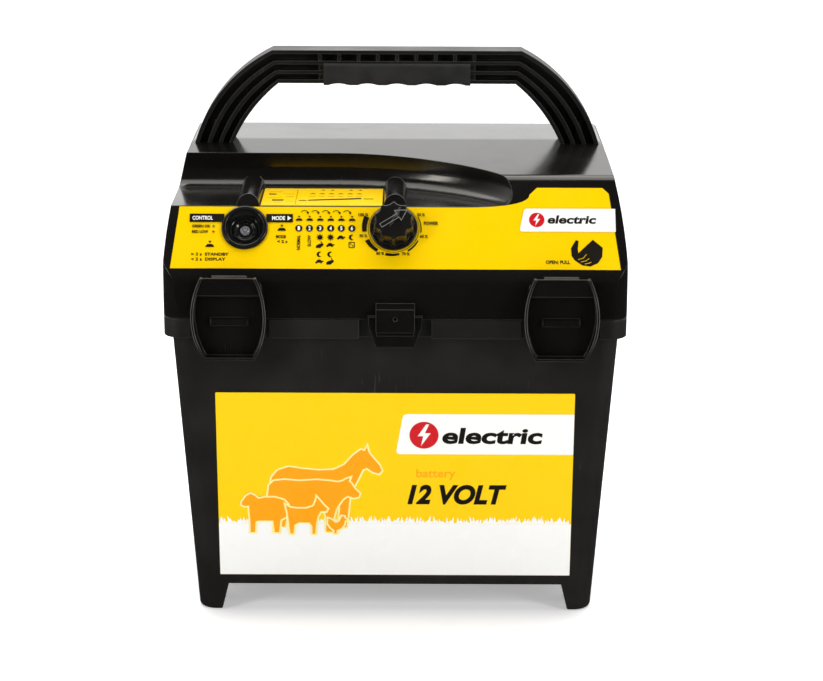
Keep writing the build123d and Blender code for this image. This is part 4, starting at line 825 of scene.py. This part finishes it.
class EnergizerPanelPrint(bpy.types.Operator):
    """Print the artwork of the sloping control label"""

    bl_idname = "energizer.panel_print"
    bl_label = "Control label print"

    def execute(self, context):
        dark, white, red, green = [], [], [], []
        self.headings(dark, white)
        self.hints(dark, red, green)
        self.columns(dark, white)
        self.dial(dark)
        self.tag(dark, red)
        for name, colour, layer, items in (
            ("dark", "dark", 1, dark), ("red", "red", 1, red), ("green", "green", 1, green),
            ("tag", "white", 0, [self.tag_shape()]), ("white", "white", 2, white),
        ):
            printed(f"panel_print_{name}", PANEL, colour, layer, items, "lid")
        return {"FINISHED"}

    def headings(self, dark, white):
        """Two dark bars with white lettering, either side of the button."""
        low, high = 37.4, 43.2
        dark.extend(shape(panel_box(x0, low, x1, high)) for x0, x1 in (
            (-133.0, -110.6), (-83.6, -66.4)))
        white.append(words("CONTROL", -131.2, 38.9, -118.0, 41.7))
        white.append(words("MODE", -79.8, 38.9, -71.4, 41.7))
        white.append(shape([(-69.8, 38.6), (-67.4, 40.3), (-69.8, 42.0)]))

    def hints(self, dark, red, green):
        """What the lights and the lengths of a press mean."""
        light_x, light_r, left = -117.4, 0.8, -131.2
        green.append(shape(disc(light_x, 34.6, light_r, 20)))
        red.append(shape(disc(light_x, 30.8, light_r, 20)))
        dark.extend((
            words("GREEN OK", left, 33.6, -119.4, 35.6), words("RED LOW", left, 29.8, -120.8, 31.8),
            *push_sign(-119.4, 20.2, 5.6),
            words("> 2 s  STANDBY", left, 14.2, -107.0, 16.3),
            words("< 2 s  DISPLAY", left, 10.8, -109.0, 12.9),
            *push_sign(-73.4, 31.6, 5.4),
            words("MODE", -77.0, 26.4, -70.6, 28.6), words("< 2 s", -76.2, 23.2, -69.6, 25.2),
        ))

    def columns(self, dark, white):
        """Numbered modes, each with its signs below it."""
        s = settings()
        first, pitch = -62.4, s.column_pitch
        for k in range(s.steps):
            x = first + k * pitch
            if k:
                middle = x - pitch / 2
                dark.append(shape(ring_part(middle, 43.2, 2.3, 2.75, -58, 58)))
                dark.append(shape([(middle + 1.2, 44.4), (middle + 2.9, 44.8), (middle + 2.5, 43.0)]))
            dark.extend(push_sign(x, 38.6, 4.4))
            dark.append(shape(disc(x, 33.4, 2.3, 28)))
            white.append(words(str(k + 1), x - 0.75, 32.0, x + 0.75, 34.8))
        dark.append(words("NORMAL", first - 1.1, 18.4, first + 1.1, 28.6, PLAIN, upright=False))
        dark.append(words("SLOW", first + pitch - 1.1, 20.8, first + pitch + 1.1, 28.6, PLAIN,
                          upright=False))
        rows = (27.2, 22.0, 15.4, 10.6)
        for column, marks in ((2, "shmt"), (3, "stmh"), (4, "t"), (5, "mb")):
            x = first + column * pitch
            for mark, y in zip(marks, rows):
                dark.extend(self.sign(mark, x, y))

    def sign(self, mark, x, y):
        """Day, night, fast, slow or chance, by its letter."""
        if mark == "s":
            return sun_sign(x, y, 1.6)
        if mark == "m":
            return moon_sign(x, y, 1.9)
        if mark == "h":
            return [shape(moved(HARE, x - 2.3, y - 2.2, 0.46))]
        if mark == "t":
            return [shape(moved(TORTOISE, x - 2.4, y - 1.4, 0.46))]
        frame_outer = panel_box(x - 2, y - 2, x + 2, y + 2, 0.6)
        frame_inner = panel_box(x - 1.5, y - 1.5, x + 1.5, y + 1.5, 0.4)
        dots = [shape(disc(x + k * 0.6, y - k * 0.5, 0.45, 12)) for k in (-1, 1)]
        return [shape(frame_outer, frame_inner), *dots]

    def dial(self, dark):
        """Ring round the knob whose bands grow thicker towards full power."""
        radius = settings().dial_radius
        line_in, line_out, almost_round = radius - 1.1, radius - 0.8, 359.9
        dark.append(shape(
            ring_part(KNOB_X, KNOB_UP, line_in, line_out, 0, almost_round, steps=90)))
        # Start and end in degrees from the top, then the thickness at each.
        bands = (
            (62, 99, 0.5, 0.7), (118, 149, 0.8, 1.2), (168, 196, 1.4, 2.0), (214, 245, 2.2, 2.9),
            (263, 295, 2.9, 3.5),
        )
        for first, last, thin, thick in bands:
            dark.append(shape(ring_part(
                KNOB_X, KNOB_UP, radius, radius + thin, first, last, thick - thin)))
        marks = (
            ("50 %", 15.2, 8.6), ("60 %", 17.0, -6.4), ("70 %", 5.4, -18.6), ("80 %", -11.0, -18.4),
            ("90 %", -22.0, -6.2), ("100 %", -22.8, 8.4),
        )
        for label, x, y in marks:
            wide = 4.9 if len(label) < 5 else 6.2
            left, low = KNOB_X + x, KNOB_UP + y
            dark.append(words(label, left, low, left + wide, low + 2.1, PLAIN))
        dark.append(words("POWER", 18.2, 36.0, 27.4, 38.4))

    def tag_shape(self):
        """White tag that runs out over the label's right edge."""
        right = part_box("control_label")[1].x / MM - 2.6
        return shape([
            (right, 31.7), (right, 47.7), (84.6, 47.7), (83.2, 47.1), (82.6, 45.8), (80.2, 33.8),
            (80.3, 32.4), (81.4, 31.7)])

    def tag(self, dark, red):
        """What is printed on the white tag, and the hand below it."""
        red.append(label_mark(91.0, 39.8, 5.0))
        dark.append(words("electric", 98.0, 37.2, 129.4, 43.0, 0.035, 0.14))
        dark.append(words("OPEN: PULL", 96.4, 9.4, 112.0, 11.9))
        hand = moved(HAND, 112.6, 7.6, 0.98)
        dark.append(shape(hand, *(moved(stroke(line, 0.55), 112.6, 7.6, 0.98) for line in FINGERS)))


class EnergizerDisplayPrint(bpy.types.Operator):
    """Print the scale strip in front of the handle scoop"""

    bl_idname = "energizer.display_print"
    bl_label = "Display strip print"

    def execute(self, context):
        low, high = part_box("display_label")
        left, right = low.x / MM, high.x / MM
        near, far = low.y / MM, high.y / MM
        deep = far - near
        start, end = left + 30.0, right - 14.0

        def bar(x0, y0, x1, y1):
            return shape(panel_box(x0, near + y0 * deep, x1, near + y1 * deep))

        dark = [
            shape(panel_box(left + 22.0, near + 2.5, left + 22.25, far - 3.0)),
            bar(left + 3.5, 0.62, left + 8.5, 0.68), bar(left + 6.5, 0.26, left + 14.0, 0.33),
        ]
        for row, first, last in ((0.78, 3.5, 12.5), (0.66, 13.0, 20.5), (0.5, 15.0, 20.5),
                                 (0.42, 3.5, 13.0), (0.16, 8.0, 13.0), (0.22, 15.5, 20.5)):
            y = near + row * deep
            dark.append(shape(panel_box(left + first, y, left + last, y + 0.35)))
        pitch = (end - start - 4.0) / 5
        for k in range(6):
            x = start + 2.5 + pitch * k
            dark.extend(push_sign(x, near + 0.66 * deep, 4.0))
            if k % 3:
                dark.extend(sun_sign(x + 0.4, near + 0.9 * deep, 0.7))
            dark.append(bar(x - 2.0, 0.52, x + 2.0, 0.53))
        wedge = ((start, 0.26), (end, 0.36), (end, 0.44), (start, 0.32))
        dark.append(shape([(x, near + share * deep) for x, share in wedge]))
        dark.append(bar(end + 1.5, 0.36, right - 6, 0.4))
        dark.append(bar(left + 24.0, 0.26, start - 1.0, 0.3))
        printed("display_print_dark", SHELF, "dark", 1, dark, "lid")
        return {"FINISHED"}


class EnergizerKnobMarks(bpy.types.Operator):
    """Raise the arrow on the power knob and print the symbol on the button's lens"""

    bl_idname = "energizer.knob_marks"
    bl_label = "Knob arrow and button symbol"

    def execute(self, context):
        point, axis = joint_place("knob_turn")
        half, barb, tail, neck, tip = 1.35, 4.0, -9.6, 3.4, 10.2
        self.raised("knob_arrow", "power_knob", -axis, point, [
            shape(stroke(line, 0.4)) for line in (
                [(-half, tail), (-half, neck)], [(half, tail), (half, neck)],
                [(-half, tail), (half, tail)],
                [(-half, neck), (-barb, neck), (0, tip), (barb, neck), (half, neck)])
        ], finish_for("knob_marking"), "knob_plastic", "knob", -ARROW_TURN, 0.35)
        self.raised("button_symbol", "button_lens", -axis, middle_of("button_lens"), [
            shape(ring_part(0, 0, 1.35, 1.75, 35, 325, steps=24)),
            shape(panel_box(-0.2, 0.2, 0.2, 2.1)),
        ], ink("dark"), "label_film", "button", 0.0, 0.06)
        return {"FINISHED"}

    def raised(self, name, node, outward, point, items, finish, slot, body, turn, height):
        """Thin marks on the outermost flat face of a node, round its own axis."""
        mesh = NODES[node].data
        reach = max(v.co.dot(outward) for v in mesh.vertices)
        spot = point + outward * (reach - point.dot(outward))
        place = facing(spot, outward) @ Matrix.Rotation(math.radians(turn), 4, "Z")
        meshes = [flat_mesh(item, height) for item in items]
        piece = joined(name, meshes, place, finish)
        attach(piece, body)


def grown_mesh(name, tree, values, place):
    """Mesh made by a Geometry Nodes tree, with its inputs set by identifier."""
    holder = bpy.data.objects.new(name, bpy.data.meshes.new(name))
    bpy.context.scene.collection.objects.link(holder)
    modifier = holder.modifiers.new("maker", "NODES")
    modifier.node_group = tree
    identifiers = {
        item.name: item.identifier for item in tree.interface.items_tree
        if item.item_type == "SOCKET" and item.in_out == "INPUT"
    }
    for key, value in values.items():
        modifier[identifiers[key]] = value
    graph = bpy.context.evaluated_depsgraph_get()
    mesh = bpy.data.meshes.new_from_object(holder.evaluated_get(graph))
    holder.modifiers.remove(modifier)
    holder.data = mesh
    mesh.transform(place)
    return holder


class Tree:
    """A Geometry Nodes tree under construction."""

    def __init__(self, name, inputs):
        self.tree = bpy.data.node_groups.new(name, "GeometryNodeTree")
        face = self.tree.interface
        for label, kind, default in inputs:
            socket = face.new_socket(label, in_out="INPUT", socket_type=f"NodeSocket{kind}")
            if default is not None:
                socket.default_value = default
        face.new_socket("Geometry", in_out="OUTPUT", socket_type="NodeSocketGeometry")
        self.source = self.tree.nodes.new("NodeGroupInput")
        self.sink = self.tree.nodes.new("NodeGroupOutput")

    def value(self, name):
        return self.source.outputs[name]

    def add(self, kind, inputs, **values):
        """A node with its properties and its linked or fixed inputs."""
        made = self.tree.nodes.new(kind)
        for key, value in values.items():
            setattr(made, key, value)
        for key, value in inputs.items():
            socket = made.inputs[key]
            if hasattr(value, "is_linked"):
                self.tree.links.new(value, socket)
            else:
                socket.default_value = value
        return made

    def maths(self, operation, a, b=0.0):
        return self.add("ShaderNodeMath", {0: a, 1: b}, operation=operation).outputs[0]

    def random(self, low, high, seed, shift):
        """Random number for each point."""
        shifted = self.maths("ADD", seed, shift)
        made = self.add(
            "FunctionNodeRandomValue", {2: low, 3: high, "Seed": shifted}, data_type="FLOAT")
        return made.outputs[1]

    def vector(self, x=0.0, y=0.0, z=0.0):
        return self.add("ShaderNodeCombineXYZ", {"X": x, "Y": y, "Z": z}).outputs[0]

    def finish(self, geometry, material):
        real = self.add("GeometryNodeRealizeInstances", {"Geometry": geometry})
        given = self.add("GeometryNodeSetMaterial", {"Geometry": real.outputs[0]})
        given.inputs["Material"].default_value = material
        self.tree.links.new(given.outputs[0], self.sink.inputs[0])
        return self.tree


def grass_tree():
    """Blades side by side on a line, each with its own height and lean."""
    made = Tree("grass_edge", [
        ("Blades", "Int", 300), ("Width", "Float", 0.2), ("Tallest", "Float", 0.006),
        ("Blade width", "Float", 0.002), ("Thickness", "Float", 0.00005), ("Seed", "Int", 1),
    ])
    step = made.maths("DIVIDE", made.value("Width"), made.value("Blades"))
    line = made.add("GeometryNodeMeshLine", {
        "Count": made.value("Blades"), "Offset": made.vector(step)}, mode="OFFSET")
    blade = made.add("GeometryNodeMeshCone", {
        "Vertices": 4, "Radius Top": 0.02, "Radius Bottom": 0.7071, "Depth": 1.0}, fill_type="NGON")
    turned = made.add("GeometryNodeTransform", {
        "Geometry": blade.outputs["Mesh"], "Rotation": (0, 0, math.pi / 4)})
    laid = made.add("GeometryNodeTransform", {
        "Geometry": turned.outputs[0], "Rotation": (-math.pi / 2, 0, 0)})
    seed = made.value("Seed")
    tall = made.random(0.22, 1.0, seed, 0)
    taller = made.maths("MULTIPLY", made.maths("POWER", tall, 1.7), made.value("Tallest"))
    scale = made.vector(made.value("Blade width"), taller, made.value("Thickness"))
    lean = made.vector(0.0, 0.0, made.random(-0.42, 0.42, seed, 7))
    blades = made.add("GeometryNodeInstanceOnPoints", {
        "Points": line.outputs[0], "Instance": laid.outputs[0], "Rotation": lean, "Scale": scale})
    return made.finish(blades.outputs[0], ink("white"))


class EnergizerGrass(bpy.types.Operator):
    """Grow the jagged grass edge along the white foot of the front label"""

    bl_idname = "energizer.grass"
    bl_label = "Grass edge"

    def execute(self, context):
        s = context.scene.energizer_grass
        low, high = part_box("front_label")
        width = high.x - low.x - 0.003
        ground = Matrix.Translation(Vector((low.x + 0.0015, 0.0646, 0.00002)))
        piece = grown_mesh("front_print_grass", grass_tree(), {
            "Blades": s.blades, "Width": width, "Tallest": s.tallest, "Blade width": s.base,
            "Thickness": 0.00005, "Seed": s.seed}, FRONT @ ground)
        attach(piece, "box")
        return {"FINISHED"}


class EnergizerStage(bpy.types.Operator):
    """Set the floor, the surround, the soft lights and the camera"""

    bl_idname = "energizer.stage"
    bl_label = "Stage"

    def execute(self, context):
        s = context.scene.energizer_stage
        self.floor(s)
        self.surround(s)
        self.lights(s)
        self.camera(s)
        context.scene.view_settings.view_transform = "Standard"
        return {"FINISHED"}

    def floor(self, s):
        mesh = bpy.data.meshes.new("floor")
        sheet = bmesh.new()
        bmesh.ops.create_grid(sheet, x_segments=8, y_segments=8, size=6.0)
        sheet.to_mesh(mesh)
        sheet.free()
        floor = bpy.data.objects.new("floor", mesh)
        floor.visible_glossy = False
        bpy.context.scene.collection.objects.link(floor)
        finish = Finish("floor_paper", tuple(s.floor_colour), 0.55, Emission_Strength=0.35)
        finish.set("Emission Color", (1.0, 1.0, 1.0, 1.0))
        finish.roughen(finish.span(finish.noise(300, 2.0), 0.3, 0.7, 0.5, 0.62))
        mesh.materials.append(finish.material)

    def surround(self, s):
        """White behind and above, darker in front and dark below the floor line."""
        world = bpy.data.worlds.new("surround")
        world.use_nodes = True
        tree = world.node_tree
        back = tree.nodes["Background"]
        back.inputs["Color"].default_value = (1.0, 1.0, 1.0, 1.0)
        where = tree.nodes.new("ShaderNodeTexCoord")
        parts = tree.nodes.new("ShaderNodeSeparateXYZ")
        tree.links.new(where.outputs["Generated"], parts.inputs[0])
        factors = []
        below_dim = 0.02
        for axis, low, high, dim, bright in (
            ("Y", -0.35, 0.75, s.front_dim, 1.0), ("Z", -0.12, 0.02, below_dim, 1.0),
        ):
            span = tree.nodes.new("ShaderNodeMapRange")
            for socket, number in (
                ("From Min", low), ("From Max", high), ("To Min", dim), ("To Max", bright),
            ):
                span.inputs[socket].default_value = number
            tree.links.new(parts.outputs[axis], span.inputs["Value"])
            factors.append(span.outputs["Result"])
        strength = factors[0]
        for factor in (factors[1], s.surround):
            product = tree.nodes.new("ShaderNodeMath")
            product.operation = "MULTIPLY"
            tree.links.new(strength, product.inputs[0])
            if isinstance(factor, float):
                product.inputs[1].default_value = factor
            else:
                tree.links.new(factor, product.inputs[1])
            strength = product.outputs[0]
        tree.links.new(strength, back.inputs["Strength"])
        bpy.context.scene.world = world

    def lights(self, s):
        strip, low_aim = 0.58 * s.key, (0.0, 0.0, 0.15)
        for name, place, aim, wide, tall, power in (
            ("key_above", (0.0, 0.25, 1.5), (0.0, 0.0, 0.25), 1.6, 1.2, s.key),
            ("strip_left", (-1.35, -1.1, 0.85), low_aim, 0.3, 1.0, strip),
            ("strip_right", (1.35, -1.1, 0.85), low_aim, 0.3, 1.0, strip),
        ):
            light = bpy.data.lights.new(name, "AREA")
            light.shape = "RECTANGLE"
            light.size = wide
            light.size_y = tall
            light.energy = power
            lamp = bpy.data.objects.new(name, light)
            bpy.context.scene.collection.objects.link(lamp)
            lamp.location = place
            ahead = Vector(aim) - Vector(place)
            lamp.rotation_euler = ahead.to_track_quat("-Z", "Y").to_euler()

    def camera(self, s):
        lens = bpy.data.cameras.new("camera")
        lens.lens = s.lens
        lens.sensor_width = 36.0
        lens.clip_end = 50.0
        camera = bpy.data.objects.new("camera", lens)
        bpy.context.scene.collection.objects.link(camera)
        camera.location = (0.01051, -1.48352, 0.62062)
        camera.rotation_mode = "QUATERNION"
        tilt = Matrix.Rotation(math.radians(73.0), 3, "X")
        roll = Matrix.Rotation(math.radians(0.24), 3, "Z")
        camera.rotation_quaternion = (tilt @ roll).to_quaternion()
        bpy.context.scene.camera = camera


class EnergizerPanel(bpy.types.Panel):
    """Lists the makers of the energizer"""

    bl_idname = "ENERGIZER_PT_makers"
    bl_label = "Energizer"
    bl_space_type = "VIEW_3D"
    bl_region_type = "UI"
    bl_category = "Energizer"

    def draw(self, context):
        scene = context.scene
        for group in (scene.energizer_print, scene.energizer_grass, scene.energizer_stage):
            box = self.layout.box()
            for key in group.__annotations__:
                box.prop(group, key)
        for operator in OPERATORS:
            self.layout.operator(operator.bl_idname)


GROUPS = (
    ("energizer_print", EnergizerPrintSettings),
    ("energizer_grass", EnergizerGrassSettings),
    ("energizer_stage", EnergizerStageSettings),
)
OPERATORS = (
    EnergizerFinishes, EnergizerSpring, EnergizerFrontPrint, EnergizerGrass,
    EnergizerPanelPrint, EnergizerDisplayPrint, EnergizerKnobMarks, EnergizerStage,
)


def register():
    for name, group in GROUPS:
        bpy.utils.register_class(group)
        setattr(bpy.types.Scene, name, bpy.props.PointerProperty(type=group))
    for kind in (*OPERATORS, EnergizerPanel):
        bpy.utils.register_class(kind)


def unregister():
    for kind in (EnergizerPanel, *reversed(OPERATORS)):
        bpy.utils.unregister_class(kind)
    for name, group in reversed(GROUPS):
        delattr(bpy.types.Scene, name)
        bpy.utils.unregister_class(group)


def main():
    register()
    for operator in OPERATORS:
        space, name = operator.bl_idname.split(".")
        getattr(getattr(bpy.ops, space), name)()


if __name__ == "__main__":
    main()
